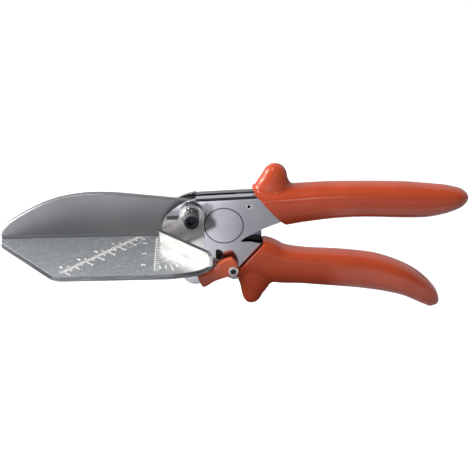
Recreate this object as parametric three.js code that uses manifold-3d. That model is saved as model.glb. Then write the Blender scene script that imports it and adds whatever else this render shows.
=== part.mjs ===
// Mitre shears: a blade on the lower lever closes onto a wide ruled table on the upper lever.
// Millimetres. +X runs from the blade's tip to the grips, +Y from the front to the back, +Z up.
// Pieces are placed from the main pivot's axis. At the end the whole tool is moved so that the
// origin lies under the middle of its box.
import * as THREE from 'three';
import { mergeVertices } from 'three/addons/utils/BufferGeometryUtils.js';
import Module from 'manifold-3d';

const wasm = await Module();
wasm.setup();

// Clearances and mesh fineness
const seat_gap = 0.1;            // between pieces of one lever that are fastened together
const run_gap = 0.3;             // between pieces of the two levers that slide past each other
const dip_gap = 0.3;             // between a dipped grip and the steel inside it
const pin_gap = 0.08;            // radial, round every turning shaft
const overrun = 1;               // how far a cutter passes the face that it cuts
const weld_distance = 1e-5;      // mesh points nearer than this are one
const fine_sides = 48;
const plain_sides = 28;
const curve_steps = 8;

// Depth of the pieces, front to back
const blade_thickness = 4;
const lower_plate_thickness = 2.5;
const upper_plate_thickness = 2.5;
const fence_thickness = 3;
const lower_inner = blade_thickness / 2 + seat_gap;
const lower_outer = lower_inner + lower_plate_thickness;
const upper_inner = lower_outer + run_gap;
const upper_outer = upper_inner + upper_plate_thickness;
const filler_half = upper_inner - run_gap;

// Table
const table_drop = 20;           // main pivot down to the table's top face
const table_thickness = 4;
const table_reach = 134.5;       // main pivot to the table's far end
const table_front = 57.4;        // mid-plane to the front edge
const table_back = 16;
const table_heel = 16.5;         // main pivot to the table's near end
const table_tip_half = 5.5;
const tip_cut_length = 41.6;     // along X, of the slanted cut at the front of the far end
const back_cut_length = 16;
const front_corner_radius = 12;
const slot_gap = 0.3;            // between the table and the side plates that pass through it
const rib_end = 8.5;             // main pivot to the rib's near end, towards the tip
const rib_length = 18;
const rib_drop = 18;             // below the table's underside
const rib_far_drop = 7;
const table_rivet_radius = 2.5;
const table_rivet_head = 3.6;

// Blade
const blade_tip = 134.5;         // main pivot to the blade's tip
const blade_crown = 15;          // main pivot up to the crown of the blade's back
const blade_lift = 0.3;          // cutting edge above the table's top face
const edge_height = 4;           // of the ground bevel
const edge_land = 0.15;          // half of the cutting edge's width
const blade_heel = 13.5;
const back_chamfer = 0.7;
const tang_reach = 48.6;
const tang_drop = 41.5;

// Upper lever's side plates
const plate_left = 21.6;         // main pivot to the plate's rounded front edge
const plate_top = 11.2;          // main pivot up to the flange's top at its front end
const flange_start = 3.2;
const flange_end = 56;
const flange_rise_share = 0.036; // climb of the flange per millimetre of its length
const flange_slot_half = 1.5;
const bend_radius = 2;
const skirt_drop = 10;           // the front edge's lower end, below the table's underside
const lobe = [1.5, -45.5];
const lobe_radius = 9.7;
const tongue_right = 16.1;
const belly_drop = 27;           // main pivot down to the plate's lower edge under the emblem
const upper_tail_end = 150;
const upper_tail_top = 9.5;
const upper_tail_bottom = -1;
const ring_centre = [22.3, -9.3];
const ring_radius = 13.5;
const ring_groove = 0.5;
const ring_depth = 0.25;

// Lower lever's side plates
const hub_centre = [-1, -3.6];
const hub_radius = 12.4;
const lower_tail_end = 124;
const lower_tip = [28.5, -53.7];
const lower_tail_rise = 1.2;     // the tail's lower edge starts this much above the tip
const lower_tail_run = 5;
const lower_tail_half = 5;
const lower_tail_step = 58;
const lower_tail_step_top = -33;
const opening = 25;              // degrees that the levers open

// Main pivot, from the front
const sleeve_radius = 6;
const bolt_radius = 3;
const pivot_ring_radius = 7;
const pivot_ring_thickness = 1.2;
const bush_radius = 5.5;
const bush_length = 2.7;
const bolt_head_radius = 5.1;
const bolt_head_length = 6;
const bolt_socket = 5;           // across the flats
const bolt_socket_depth = 3;
const nut_across = 10;
const nut_height = 5;
const bolt_end = 1.6;            // bolt's end past the nut

// Blade's clamp screw
const clamp_centre = [17.5, -33.2];
const clamp_head_radius = 3.8;
const clamp_shank_radius = 2.4;
const clamp_socket = 3.2;
const clamp_recess = 0.15;       // the head lies this much below the plate's face

// Latch
const latch_axis = [28.3, -42.9];
const latch_thickness = 4.2;
const latch_length = 26;         // its axis to its tip
const latch_bevel = 1.6;
const latch_hub_radius = 3.9;
const latch_spacer_radius = 3.5;
const latch_screw_radius = 1.9;
const latch_head_radius = 3.6;
const latch_head_height = 1.8;
const latch_socket = 4.2;
const latch_socket_depth = 1.4;

// Fence
const fence_height = 10;
const fence_reach = 34.3;        // along X, end of the bend to free end
const fence_corner = 2.5;        // chamfer at the free end's top
const fence_bend_radius = 0.7;   // inside the bend
const fence_bend_inset = 2.1;    // the bend's centre, from the side plate's front edge
const fence_skirt = 8;           // the tab's near half reaches this far below the table's top
const tab_right = 8.6;
const tab_shoulder = 2.3;        // the tab's low top edge, below the main pivot
const fence_pin_radius = 1.1;
const fence_pin_height = 5.5;
const fence_pin_inset = 4.5;     // from the wall's free end, along the wall
const fence_pin_offset = 1.5;    // between the wall's back and the pin

// Return spring and its seats
const spring_x = 38;
const spring_radius = 3.3;       // to the wire's middle
const wire_radius = 0.7;
const spring_turns = 5;
const spring_steps = 8;          // to a turn
const wire_sides = 5;
const seat_block_length = 14;
const seat_block_bottom = -0.6;
const lower_seat_length = 10;
const lower_seat_top = -13.2;
const lower_seat_bottom = -17.6;
const tang_seat = -15.6;         // the tang's top edge under the spring
const roll_pin = [40, 4.9];
const roll_pin_radius = 2.1;
const roll_pin_bore = 1.2;
const roll_pin_slot = 0.6;

// Tail fillers and rivets inside the grips
const tail_rivet_radius = 2.5;
const tail_filler_length = 16;
const upper_tail_rivet = 132;
const lower_tail_rivet = [108, -48.5];
const lower_filler_half_height = 4;

// Grips
const upper_grip_start = 40;
const upper_grip_end = 193.6;
const upper_grip_half_height = 12.9;
const upper_grip_half_width = 10.4;
const upper_grip_middle = 5;     // main pivot up to the grip's middle line
const guard_top = 34.2;
const thumb_guard_x = 59;
const thumb_guard_half = 12.4;
const lower_grip_start = 40;
const lower_grip_end = 175.6;
const lower_grip_half_height = 13.3;
const lower_grip_half_width = 10.2;
const lower_grip_drop = 81;      // main pivot down to the lower grip's tip
const finger_guard_x = 42;
const finger_guard_half = 11.6;
const finger_guard_drop = 74.8;
const upper_lip = [42.4, 17.2];  // the grips' front edges run through these points
const upper_chin = [68, -13.9];
const lower_lip = [50, -24.8];
const lower_chin = [32.8, -44.3];
const grip_sides = 20;
const grip_steps = 30;
const guard_steps = 12;
const grip_roundness_share = 0.86;
const end_crowding_share = 1.25;

// Shares chosen by hand. A pair is a share of a length along X and a share of a height.
const blade_back_shares = [
  [1.0, -1.02], [0.988, -0.81], [0.972, -0.61], [0.952, -0.41], [0.923, -0.22], [0.87, 0.07],
  [0.788, 0.46], [0.734, 0.65], [0.68, 0.8], [0.576, 0.965], [0.47, 1.0], [0.367, 0.94],
  [0.213, 0.77], [0.084, 0.63], [0.007, 0.53],
];
const tang_top_shares = [[0.13, 0.42], [0.21, 0.06], [0.41, -0.5]];
const tang_shelf_share = 0.6;
const tang_low_shares = [
  [1, 0.58], [0.9, 0.72], [0.62, 0.96], [0.36, 1], [0.24, 0.87], [0.12, 0.53], [-0.12, 0.42],
];
const plate_arc_shares = [
  [0.148, 1], [-0.26, 0.78], [-0.53, 0.46], [-0.78, 0], [-0.917, -0.42], [-1, -1],
];
const belly_shares = [[1, 1.06], [1.19, 1], [1.67, 0.996], [1.89, 0.91], [2.29, 0.71]];
const throat_shares = [[3.08, 0.46], [3.95, 0.255], [4.35, 0.13]];
const latch_back_shares = [
  [0.1, 0.215], [-0.03, 0.37], [-0.196, 0.342], [-0.39, 0.24], [-0.473, 0.08], [-0.585, -0.04],
];
const latch_nose_shares = [
  [-1, -0.14], [-0.915, -0.38], [-0.84, -0.5], [-0.73, -0.475], [-0.51, -0.33], [-0.155, -0.2],
];
const heel_shares = [
  [-1.45, -1], [-0.9, -0.996], [-0.47, -0.976], [-0.07, -0.951], [0.34, -0.904], [0.67, -0.822],
  [0.9, -0.718], [1, -0.61],
];
const table_rivet_shares = [[0.444, 0.29], [0.228, 0.72]];
const lower_front_shares = [[0.246, 0.447], [0.404, 0.633], [0.456, 0.782], [0.702, 0.931], [1, 1]];
const lower_top_shares = [
  [1.737, 0.493], [1.614, 0.462], [1.418, 0.438], [1.218, 0.443], [0.702, 0.28], [0.368, 0.093],
];
const tab_arc_shares = [[-1, -0.6], [-0.95, -0.36], [-0.86, -0.17], [-0.78, -0.115]];
const upper_spine_shares = [
  [0, 0.46], [0.13, 0.46], [0.24, 0.76], [0.36, 1.04], [0.52, 1.1], [0.69, 0.9], [0.81, 0.72],
  [0.9, 0.84], [0.965, 1], [0.992, 1.03], [1, 1.03],
];
const upper_size_shares = [
  [1.15, 1.05], [1.16, 1.05], [1.09, 1.02], [1.03, 1.0], [0.98, 1.0], [0.99, 1.0], [0.93, 0.97],
  [0.76, 0.87], [0.5, 0.66], [0.24, 0.34], [0.02, 0.02],
];
const lower_spine_shares = [
  [-0.09, 0.457], [0.015, 0.469], [0.075, 0.492], [0.15, 0.54], [0.29, 0.57], [0.47, 0.598],
  [0.63, 0.635], [0.75, 0.692], [0.838, 0.757], [0.905, 0.835], [0.95, 0.905], [0.972, 0.965],
  [0.978, 0.99],
];
const lower_size_shares = [
  [1.13, 0.96], [1.2, 0.96], [1.2, 0.96], [1.08, 0.98], [0.97, 1.0], [1.0, 1.0],
  [0.985, 1.0], [0.88, 1.0], [0.765, 0.95], [0.65, 0.84], [0.52, 0.68], [0.33, 0.44],
  [0.02, 0.02],
];
const thumb_spine_shares = [
  [-0.12, 0.2], [-0.13, 0.5], [-0.06, 0.72], [0.01, 0.86], [0.06, 0.96], [0.08, 1],
];
const thumb_size_shares = [
  [1.25, 0.78], [1.06, 0.74], [0.74, 0.66], [0.6, 0.56], [0.35, 0.36], [0.02, 0.02],
];
const finger_spine_shares = [
  [0.15, 0.6], [0.09, 0.76], [-0.04, 0.87], [-0.07, 0.94], [-0.06, 0.985], [-0.05, 1],
];
const finger_size_shares = [
  [1.2, 0.84], [1.0, 0.78], [0.69, 0.64], [0.53, 0.52], [0.31, 0.3], [0.02, 0.02],
];

// Materials
function finish(color, roughness, metalness) {
  return new THREE.MeshStandardMaterial({ color, roughness, metalness });
}
const plated_steel = finish(0xb9b9c2, 0.2, 1);
const blade_steel = finish(0x6e6e71, 0.5, 0.8);
const aluminium = finish(0xa3a8aa, 0.4, 1);
const bright_steel = finish(0xd8d8d6, 0.15, 1);
const grey_steel = finish(0x77777a, 0.4, 1);
const black_steel = finish(0x1c1c20, 0.35, 0.9);
const spring_steel = finish(0x4c4c50, 0.35, 1);
const red_dip = finish(0xb04a33, 0.25, 0);

// Geometry to solid and back
function solid(geometry) {
  const bare = geometry.index ? geometry.toNonIndexed() : geometry.clone();
  bare.deleteAttribute('normal');
  bare.deleteAttribute('uv');
  const merged = mergeVertices(bare, weld_distance);
  return new wasm.Manifold(new wasm.Mesh({
    numProp: 3,
    vertProperties: new Float32Array(merged.attributes.position.array),
    triVerts: new Uint32Array(merged.index.array),
  }));
}

const tool = new THREE.Group();
tool.name = 'mitre_shears';

function add(name, body, material) {
  const mesh = body.getMesh();
  const geometry = new THREE.BufferGeometry();
  geometry.setAttribute('position', new THREE.BufferAttribute(mesh.vertProperties, 3));
  geometry.setIndex(new THREE.BufferAttribute(mesh.triVerts, 1));
  geometry.computeVertexNormals();
  const piece = new THREE.Mesh(geometry, material);
  piece.name = name;
  tool.add(piece);
  return piece;
}

function shape_of(points) {
  const shape = new THREE.Shape();
  points.forEach(([x, z], i) => (i ? shape.lineTo(x, z) : shape.moveTo(x, z)));
  return shape;
}

function smooth(points, steps) {
  const curve = new THREE.SplineCurve(points.map(([x, z]) => new THREE.Vector2(x, z)));
  return curve.getPoints(steps).map((p) => [p.x, p.y]);
}

function arc(cx, cz, radius, from, to, steps) {
  const points = [];
  for (let i = 0; i <= steps; i += 1) {
    const angle = THREE.MathUtils.degToRad(from + ((to - from) * i) / steps);
    points.push([cx + radius * Math.cos(angle), cz + radius * Math.sin(angle)]);
  }
  return points;
}

// A slab whose outline lies in the XZ plane, between two depths
function slab(points, y_front, y_back) {
  const depth = y_back - y_front;
  const geometry = new THREE.ExtrudeGeometry(shape_of(points), { depth, bevelEnabled: false });
  geometry.rotateX(Math.PI / 2);
  geometry.translate(0, y_back, 0);
  return solid(geometry);
}

// A slab with chamfered or rounded rims, inside the same outline and depths
function eased_slab(points, y_front, y_back, rim, segments) {
  const geometry = new THREE.ExtrudeGeometry(shape_of(points), {
    depth: y_back - y_front - 2 * rim,
    bevelEnabled: true,
    bevelSize: rim,
    bevelOffset: -rim,
    bevelThickness: rim,
    bevelSegments: segments,
  });
  geometry.rotateX(Math.PI / 2);
  geometry.translate(0, y_back - rim, 0);
  return solid(geometry);
}

// A slab whose outline lies in the XY plane, between two heights
function plate(points, z_low, z_high) {
  const depth = z_high - z_low;
  const geometry = new THREE.ExtrudeGeometry(shape_of(points), { depth, bevelEnabled: false });
  geometry.translate(0, 0, z_low);
  return solid(geometry);
}

function block(x0, x1, y0, y1, z0, z1) {
  const geometry = new THREE.BoxGeometry(x1 - x0, y1 - y0, z1 - z0);
  geometry.translate((x0 + x1) / 2, (y0 + y1) / 2, (z0 + z1) / 2);
  return solid(geometry);
}

// A round bar along Y, at a point [x, z]
function bar([x, z], radius, y_front, y_back, sides = fine_sides) {
  const geometry = new THREE.CylinderGeometry(radius, radius, y_back - y_front, sides);
  geometry.translate(x, (y_front + y_back) / 2, z);
  return solid(geometry);
}

// A turned piece along Y from pairs of radius and depth
function spindle([x, z], profile, sides = fine_sides) {
  const points = profile.map(([r, y]) => new THREE.Vector2(r, y));
  const geometry = new THREE.LatheGeometry(points, sides);
  geometry.translate(x, 0, z);
  return solid(geometry);
}

function hexagon([x, z], across, y_front, y_back) {
  const radius = across / Math.sqrt(3);
  return slab(arc(x, z, radius, 30, 330, 5), y_front, y_back);
}

// A body through oval rings. Spine and sizes are shares, turned into lengths by the caller.
function loft(spine, sizes, steps) {
  const line = new THREE.CatmullRomCurve3(spine.map(([x, z]) => new THREE.Vector3(x, 0, z)));
  const size = new THREE.CatmullRomCurve3(sizes.map(([h, w]) => new THREE.Vector3(h, w, 0)));
  const vertices = [];
  const triangles = [];
  for (let i = 0; i <= steps; i += 1) {
    const t = 1 - (1 - i / steps) ** end_crowding_share;
    const middle = line.getPoint(t);
    const along = line.getTangent(t);
    const half = size.getPoint(t);
    for (let k = 0; k < grip_sides; k += 1) {
      const angle = (2 * Math.PI * k) / grip_sides;
      const up = Math.sign(Math.cos(angle)) * Math.abs(Math.cos(angle)) ** grip_roundness_share;
      const out = Math.sign(Math.sin(angle)) * Math.abs(Math.sin(angle)) ** grip_roundness_share;
      vertices.push(middle.x - along.z * half.x * up, half.y * out, middle.z + along.x * half.x * up);
    }
  }
  const ring = (i, k) => i * grip_sides + (k % grip_sides);
  for (let i = 0; i < steps; i += 1) {
    for (let k = 0; k < grip_sides; k += 1) {
      triangles.push(ring(i, k), ring(i + 1, k + 1), ring(i, k + 1));
      triangles.push(ring(i, k), ring(i + 1, k), ring(i + 1, k + 1));
    }
  }
  for (let k = 1; k < grip_sides - 1; k += 1) {
    triangles.push(ring(0, 0), ring(0, k), ring(0, k + 1));
    triangles.push(ring(steps, 0), ring(steps, k + 1), ring(steps, k));
  }
  const geometry = new THREE.BufferGeometry();
  geometry.setAttribute('position', new THREE.Float32BufferAttribute(vertices, 3));
  geometry.setIndex(triangles);
  return solid(geometry);
}

// Places that several pieces share
const table_top = -table_drop;
const table_underside = table_top - table_thickness;
const tab_back = -(upper_outer + seat_gap);
const tab_front = tab_back - fence_thickness;
const ring_front = tab_front - seat_gap - pivot_ring_thickness;
const bush_front = ring_front - seat_gap - bush_length;
const head_front = bush_front - seat_gap - bolt_head_length;
const washer_back = upper_outer + seat_gap + pivot_ring_thickness;
const nut_back = washer_back + seat_gap + nut_height;
const latch_back = -(upper_outer + run_gap);
const latch_front = latch_back - latch_thickness;
const rib_left = -(rib_end + rib_length);
const pivot = [0, 0];
const table_rivets = table_rivet_shares.map(([along, down]) => [
  -(rib_end + along * rib_length),
  table_underside - down * rib_drop,
]);

function flange_top(x) {
  return plate_top + flange_rise_share * (x - flange_start);
}

function scaled(shares, x_size, z_size) {
  return shares.map(([x, z]) => [x * x_size, z * z_size]);
}

// Side plates of the upper lever. The tail's outline also cuts the grip's hollow, grown by a gap.
function upper_tail(grow) {
  const belly_end = scaled(belly_shares.slice(-1), tongue_right, -belly_drop);
  const low = [...belly_end, ...scaled(throat_shares, tongue_right, -belly_drop)];
  return [
    ...low.map(([x, z]) => [x, z - grow]),
    [upper_tail_end + grow, upper_tail_bottom - grow],
    [upper_tail_end + grow, upper_tail_top + grow],
    [flange_end + grow, upper_tail_top + grow],
  ];
}

function upper_outline() {
  const spacer = turned_about_pivot(latch_axis, -opening);
  const seat = latch_spacer_radius + 2 * run_gap;
  const orbit = Math.hypot(...latch_axis) - seat;
  return [
    ...smooth(scaled(plate_arc_shares, plate_left, plate_top), 2 * curve_steps),
    [-plate_left, table_underside - skirt_drop],
    ...arc(...lobe, lobe_radius, 190, 280, curve_steps),
    ...arc(...spacer, seat, 240, 125, curve_steps / 2),
    ...arc(...pivot, orbit, -81, -73, 2),
    [tongue_right, lobe[1] + lobe_radius / 2],
    ...scaled(belly_shares.slice(0, -1), tongue_right, -belly_drop),
    ...upper_tail(0),
    [flange_end, flange_top(flange_end) - bend_radius],
    [flange_start, plate_top - bend_radius],
  ];
}

function turned_about_pivot([x, z], degrees) {
  const angle = THREE.MathUtils.degToRad(degrees);
  return [x * Math.cos(angle) - z * Math.sin(angle), x * Math.sin(angle) + z * Math.cos(angle)];
}

// The bent top flange, as a section in the YZ plane drawn for the front plate
function flange(side) {
  const reach = bend_radius + overrun;
  const section = [
    [-upper_outer, -reach],
    ...arc(-upper_outer + bend_radius, -bend_radius, bend_radius, 180, 90, curve_steps),
    [-flange_slot_half, 0],
    [-flange_slot_half, -upper_plate_thickness],
    [-upper_inner, -upper_plate_thickness],
    [-upper_inner, -reach],
  ];
  const length = flange_end - flange_start;
  const geometry = new THREE.ExtrudeGeometry(shape_of(section), { depth: length, bevelEnabled: false });
  geometry.rotateX(Math.PI / 2);
  geometry.rotateZ(Math.PI / 2);
  geometry.applyMatrix4(new THREE.Matrix4().makeShear(0, flange_rise_share, 0, 0, 0, 0));
  geometry.translate(flange_start, 0, plate_top);
  const body = solid(geometry);
  return side < 0 ? body : body.mirror([0, 1, 0]);
}

function upper_plate(side) {
  const [y0, y1] = side < 0 ? [-upper_outer, -upper_inner] : [upper_inner, upper_outer];
  let body = slab(upper_outline(), y0, y1).add(flange(side));
  const cut = (at, radius) => {
    body = body.subtract(bar(at, radius, y0 - overrun, y1 + overrun));
  };
  cut(pivot, bolt_radius + seat_gap);
  cut(roll_pin, roll_pin_radius + seat_gap);
  cut([upper_tail_rivet, upper_tail_middle], tail_rivet_radius + seat_gap);
  table_rivets.forEach((at) => {
    body = body.subtract(rivet(at, seat_gap));
  });
  return body;
}

// A rivet with countersunk ends, flush with both side plates; grown, it cuts its own hole
function rivet(at, grow) {
  const end = upper_outer + (grow ? overrun : 0);
  const neck = upper_outer - upper_plate_thickness / 2;
  const shank = table_rivet_radius + grow;
  const head = table_rivet_head + grow;
  return spindle(at, [
    [0, -end], [head, -end], [head, -upper_outer], [shank, -neck],
    [shank, neck], [head, upper_outer], [head, end], [0, end],
  ].filter(([r, y], i, all) => !i || r !== all[i - 1][0] || y !== all[i - 1][1]), plain_sides);
}

const upper_tail_middle = (upper_tail_top + upper_tail_bottom) / 2;
const upper_front = upper_plate(-1);
const groove_floor = -upper_outer + ring_depth;
const groove = bar(ring_centre, ring_radius + ring_groove / 2, -upper_outer - overrun, groove_floor)
  .subtract(bar(ring_centre, ring_radius - ring_groove / 2, -upper_outer - 2 * overrun, 0));
add('upper_plate_front', upper_front.subtract(groove), plated_steel);
add('upper_plate_back', upper_plate(1), plated_steel);

// Table with its rib between the side plates
function table_outline() {
  const heel = scaled(heel_shares, table_heel, table_front);
  const [last_x, last_y] = heel[heel.length - 1];
  const tip_angle = Math.atan2(table_front - table_tip_half, tip_cut_length);
  const corner_reach = front_corner_radius * Math.tan(tip_angle / 2);
  const corner_x = -table_reach + tip_cut_length + corner_reach;
  const sweep = 90 - THREE.MathUtils.radToDeg(tip_angle);
  return [
    [-table_reach, table_tip_half],
    [-table_reach, -table_tip_half],
    ...arc(corner_x, -table_front + front_corner_radius, front_corner_radius, 180 + sweep, 270, curve_steps),
    ...smooth(heel, 2 * curve_steps),
    [-rib_end, last_y + last_x + rib_end],
    [-rib_end, table_back],
    [-table_reach + back_cut_length, table_back],
  ];
}

const rib_outline = [
  [rib_left, table_underside + overrun],
  [rib_left, table_underside - rib_far_drop],
  [rib_left + rib_drop - rib_far_drop, table_underside - rib_drop],
  [-rib_end, table_underside - rib_drop],
  [-rib_end, table_underside + overrun],
];
let table = plate(table_outline(), table_underside, table_top);
const slot_left = -plate_left - slot_gap;
const slot_out = upper_outer + slot_gap;
[-1, 1].forEach((side) => {
  const [y0, y1] = side < 0 ? [-slot_out, -filler_half] : [filler_half, slot_out];
  table = table.subtract(
    block(slot_left, table_heel, y0, y1, table_underside - overrun, table_top + overrun),
  );
});
table = table.add(slab(rib_outline, -filler_half, filler_half));
table_rivets.forEach((at) => {
  table = table.subtract(bar(at, table_rivet_radius + seat_gap, -upper_outer, upper_outer, plain_sides));
});

// Fence: one bent plate, its tab under the main bolt and its wall at 45 degrees on the table
const fence_foot = table_top + seat_gap;
const fence_top = table_top + fence_height;
const fence_length = fence_reach * Math.SQRT2;
const bend_x = fence_bend_inset - plate_left;
const bend_y = tab_front - fence_bend_radius;
const bend_outside = fence_bend_radius + fence_thickness;
const skirt_left = slot_gap - rib_end + fence_thickness / 2;
const tab_arc = scaled(tab_arc_shares, plate_left, table_drop).reverse();
const tab_outline = [
  [bend_x, fence_foot],
  [skirt_left, fence_foot],
  [skirt_left, table_top - fence_skirt],
  [tab_right, table_top - fence_skirt],
  ...arc(...pivot, tab_right, 0, 190, 2 * curve_steps),
  [-tab_right - overrun, -tab_shoulder],
  ...smooth(tab_arc, curve_steps),
  [bend_x, tab_arc[tab_arc.length - 1][1]],
];
const bend_outline = [
  ...arc(bend_x, bend_y, bend_outside, 90, 225, 2 * curve_steps),
  ...arc(bend_x, bend_y, fence_bend_radius, 225, 90, 2 * curve_steps),
];
const wall_outline = [
  [0, fence_foot],
  [fence_length, fence_foot],
  [fence_length, fence_top - fence_corner],
  [fence_length - fence_corner, fence_top],
  [0, fence_top],
];
const wall_start = [bend_x - bend_outside / Math.SQRT2, bend_y - bend_outside / Math.SQRT2];
const wall = slab(wall_outline, 0, fence_thickness).rotate([0, 0, -45]).translate([...wall_start, 0]);
const fence = slab(tab_outline, tab_front, tab_back)
  .subtract(bar(pivot, bolt_radius + seat_gap, tab_front - overrun, tab_back + overrun))
  .add(plate(bend_outline, fence_foot, fence_top))
  .add(wall);
add('fence', fence, plated_steel);

const pin_along = (fence_length - fence_pin_inset) / Math.SQRT2;
const pin_behind = (fence_thickness + fence_pin_offset + fence_pin_radius) / Math.SQRT2;
const fence_pin_at = [
  wall_start[0] + pin_along + pin_behind,
  wall_start[1] - pin_along + pin_behind,
];
function upright([x, y], radius, z0, z1) {
  const geometry = new THREE.CylinderGeometry(radius, radius, z1 - z0, plain_sides);
  geometry.rotateX(Math.PI / 2);
  geometry.translate(x, y, (z0 + z1) / 2);
  return solid(geometry);
}
add(
  'fence_pin',
  upright(fence_pin_at, fence_pin_radius, table_underside, table_top + fence_pin_height),
  bright_steel,
);
table = table.subtract(
  upright(fence_pin_at, fence_pin_radius + seat_gap, table_underside - overrun, table_top + overrun),
);
add('table', table, aluminium);
table_rivets.forEach((at, i) => add(`table_rivet_${i + 1}`, rivet(at, 0), plated_steel));

// Main pivot
const bolt = bar(pivot, bolt_radius, bush_front - seat_gap - overrun, nut_back + bolt_end)
  .add(bar(pivot, bolt_head_radius, head_front, bush_front - seat_gap))
  .subtract(hexagon(pivot, bolt_socket, head_front - overrun, head_front + bolt_socket_depth));
add('pivot_bolt', bolt, black_steel);

function washer(y_front, y_back) {
  const hole = bolt_radius + seat_gap;
  const rim = (y_back - y_front) / 3;
  return spindle(pivot, [
    [hole, y_front], [pivot_ring_radius - rim, y_front], [pivot_ring_radius, y_front + rim],
    [pivot_ring_radius, y_back], [hole, y_back], [hole, y_front],
  ]);
}
add('pivot_ring', washer(ring_front, tab_front - seat_gap), bright_steel);
add('pivot_washer_back', washer(upper_outer + seat_gap, washer_back), bright_steel);
const bolt_hole = bolt_radius + seat_gap;
add('pivot_bush', spindle(pivot, [
  [bolt_hole, bush_front], [bush_radius, bush_front], [bush_radius, ring_front - seat_gap],
  [bolt_hole, ring_front - seat_gap], [bolt_hole, bush_front],
]), grey_steel);
const nut = hexagon(pivot, nut_across, washer_back + seat_gap, nut_back)
  .subtract(bar(pivot, bolt_hole, washer_back - overrun, nut_back + overrun));
add('pivot_nut', nut, grey_steel);
const sleeve_half = upper_inner - seat_gap;
add('pivot_sleeve', spindle(pivot, [
  [bolt_hole, -sleeve_half], [sleeve_radius, -sleeve_half], [sleeve_radius, sleeve_half],
  [bolt_hole, sleeve_half], [bolt_hole, -sleeve_half],
]), grey_steel);

// Spring block, roll pin and return spring
const block_left = spring_x - seat_block_length / 2;
const block_right = spring_x + seat_block_length / 2;
const block_half = upper_inner - seat_gap;
const block_top = flange_top(block_left) - upper_plate_thickness - slot_gap;
const spring_block = block(block_left, block_right, -block_half, block_half, seat_block_bottom, block_top)
  .subtract(bar(roll_pin, roll_pin_radius + seat_gap, -upper_outer, upper_outer));
add('spring_block', spring_block, grey_steel);
const pin_half = upper_outer - seat_gap;
const rolled = bar(roll_pin, roll_pin_radius, -pin_half, pin_half, plain_sides)
  .subtract(bar(roll_pin, roll_pin_bore, -upper_outer, upper_outer, plain_sides))
  .subtract(block(
    roll_pin[0] - roll_pin_slot / 2,
    roll_pin[0] + roll_pin_slot / 2,
    -upper_outer,
    upper_outer,
    roll_pin[1],
    roll_pin[1] + roll_pin_radius + overrun,
  ));
add('roll_pin', rolled, bright_steel);

const coil_high = seat_block_bottom - seat_gap - wire_radius;
const coil_low = lower_seat_top + seat_gap + wire_radius;
class Coil extends THREE.Curve {
  getPoint(t, target = new THREE.Vector3()) {
    const angle = 2 * Math.PI * spring_turns * t;
    const z = coil_high + (coil_low - coil_high) * t;
    return target.set(spring_x + spring_radius * Math.cos(angle), spring_radius * Math.sin(angle), z);
  }
}
const wire_section = shape_of(arc(0, 0, wire_radius, 0, 360 - 360 / wire_sides, wire_sides - 1));
const coil = new THREE.ExtrudeGeometry(wire_section, {
  steps: spring_turns * spring_steps,
  extrudePath: new Coil(),
  bevelEnabled: false,
});
add('return_spring', solid(coil), spring_steel);

// The least gap between one turn of the wire and the next, measured on its points
const wire_points = new Coil().getPoints(spring_turns * spring_steps);
let least_gap = Infinity;
wire_points.forEach((a, i) => {
  wire_points.slice(i + spring_steps / 2).forEach((b) => {
    least_gap = Math.min(least_gap, a.distanceTo(b) - 2 * wire_radius);
  });
});
console.log('least gap between turns of the spring, mm:', least_gap.toFixed(2));

// Filler and rivet in the upper tail
add('upper_filler', block(
  upper_tail_rivet - tail_filler_length / 2,
  upper_tail_rivet + tail_filler_length / 2,
  -block_half,
  block_half,
  upper_tail_bottom,
  upper_tail_top,
).subtract(bar(
  [upper_tail_rivet, upper_tail_middle],
  tail_rivet_radius + seat_gap,
  -upper_outer,
  upper_outer,
)), grey_steel);
add(
  'upper_rivet',
  bar([upper_tail_rivet, upper_tail_middle], tail_rivet_radius, -upper_outer, upper_outer, plain_sides),
  grey_steel,
);

// Side plates of the lower lever
function lower_tail(grow) {
  const [tip_x, tip_z] = lower_tip;
  const end = lower_tail_end + grow;
  const top = scaled(lower_top_shares, tip_x, tip_z).map(([x, z]) => [x, z + grow]);
  const low_z = tip_z + lower_tail_rise;
  const middle = lower_tail_rivet[1];
  const front = scaled(lower_front_shares, tip_x, tip_z).map(([x, z]) => [x, z - grow]);
  return [
    ...front,
    [tip_x + lower_tail_run, low_z - grow],
    [end, middle - lower_tail_half - grow],
    [end, middle + lower_tail_half + grow],
    [lower_tail_step, lower_tail_step_top + grow],
    ...top,
  ];
}

function lower_outline() {
  return [
    ...arc(...hub_centre, hub_radius, 40, 240, 2 * curve_steps),
    ...lower_tail(0),
  ];
}

function lower_plate(side) {
  const [y0, y1] = side < 0 ? [-lower_outer, -lower_inner] : [lower_inner, lower_outer];
  let body = slab(lower_outline(), y0, y1);
  const cut = (at, radius) => {
    body = body.subtract(bar(at, radius, y0 - overrun, y1 + overrun));
  };
  cut(pivot, sleeve_radius + pin_gap);
  cut(clamp_centre, clamp_shank_radius + seat_gap);
  cut(lower_tail_rivet, tail_rivet_radius + seat_gap);
  cut(latch_axis, latch_screw_radius + seat_gap);
  if (side < 0) {
    body = body.subtract(spindle(clamp_centre, clamp_profile(seat_gap)));
  }
  return body;
}

// The clamp screw's countersunk head and shank, without its socket
function clamp_profile(grow) {
  const face = -lower_outer + (grow ? -overrun : clamp_recess);
  const rim = -lower_outer + clamp_recess;
  const neck = rim + clamp_head_radius - clamp_shank_radius;
  const head = clamp_head_radius + grow;
  const shank = clamp_shank_radius + grow;
  const corner = grow ? [[head, rim]] : [];
  return [[0, face], [head, face], ...corner, [shank, neck], [shank, lower_outer], [0, lower_outer]];
}

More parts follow.
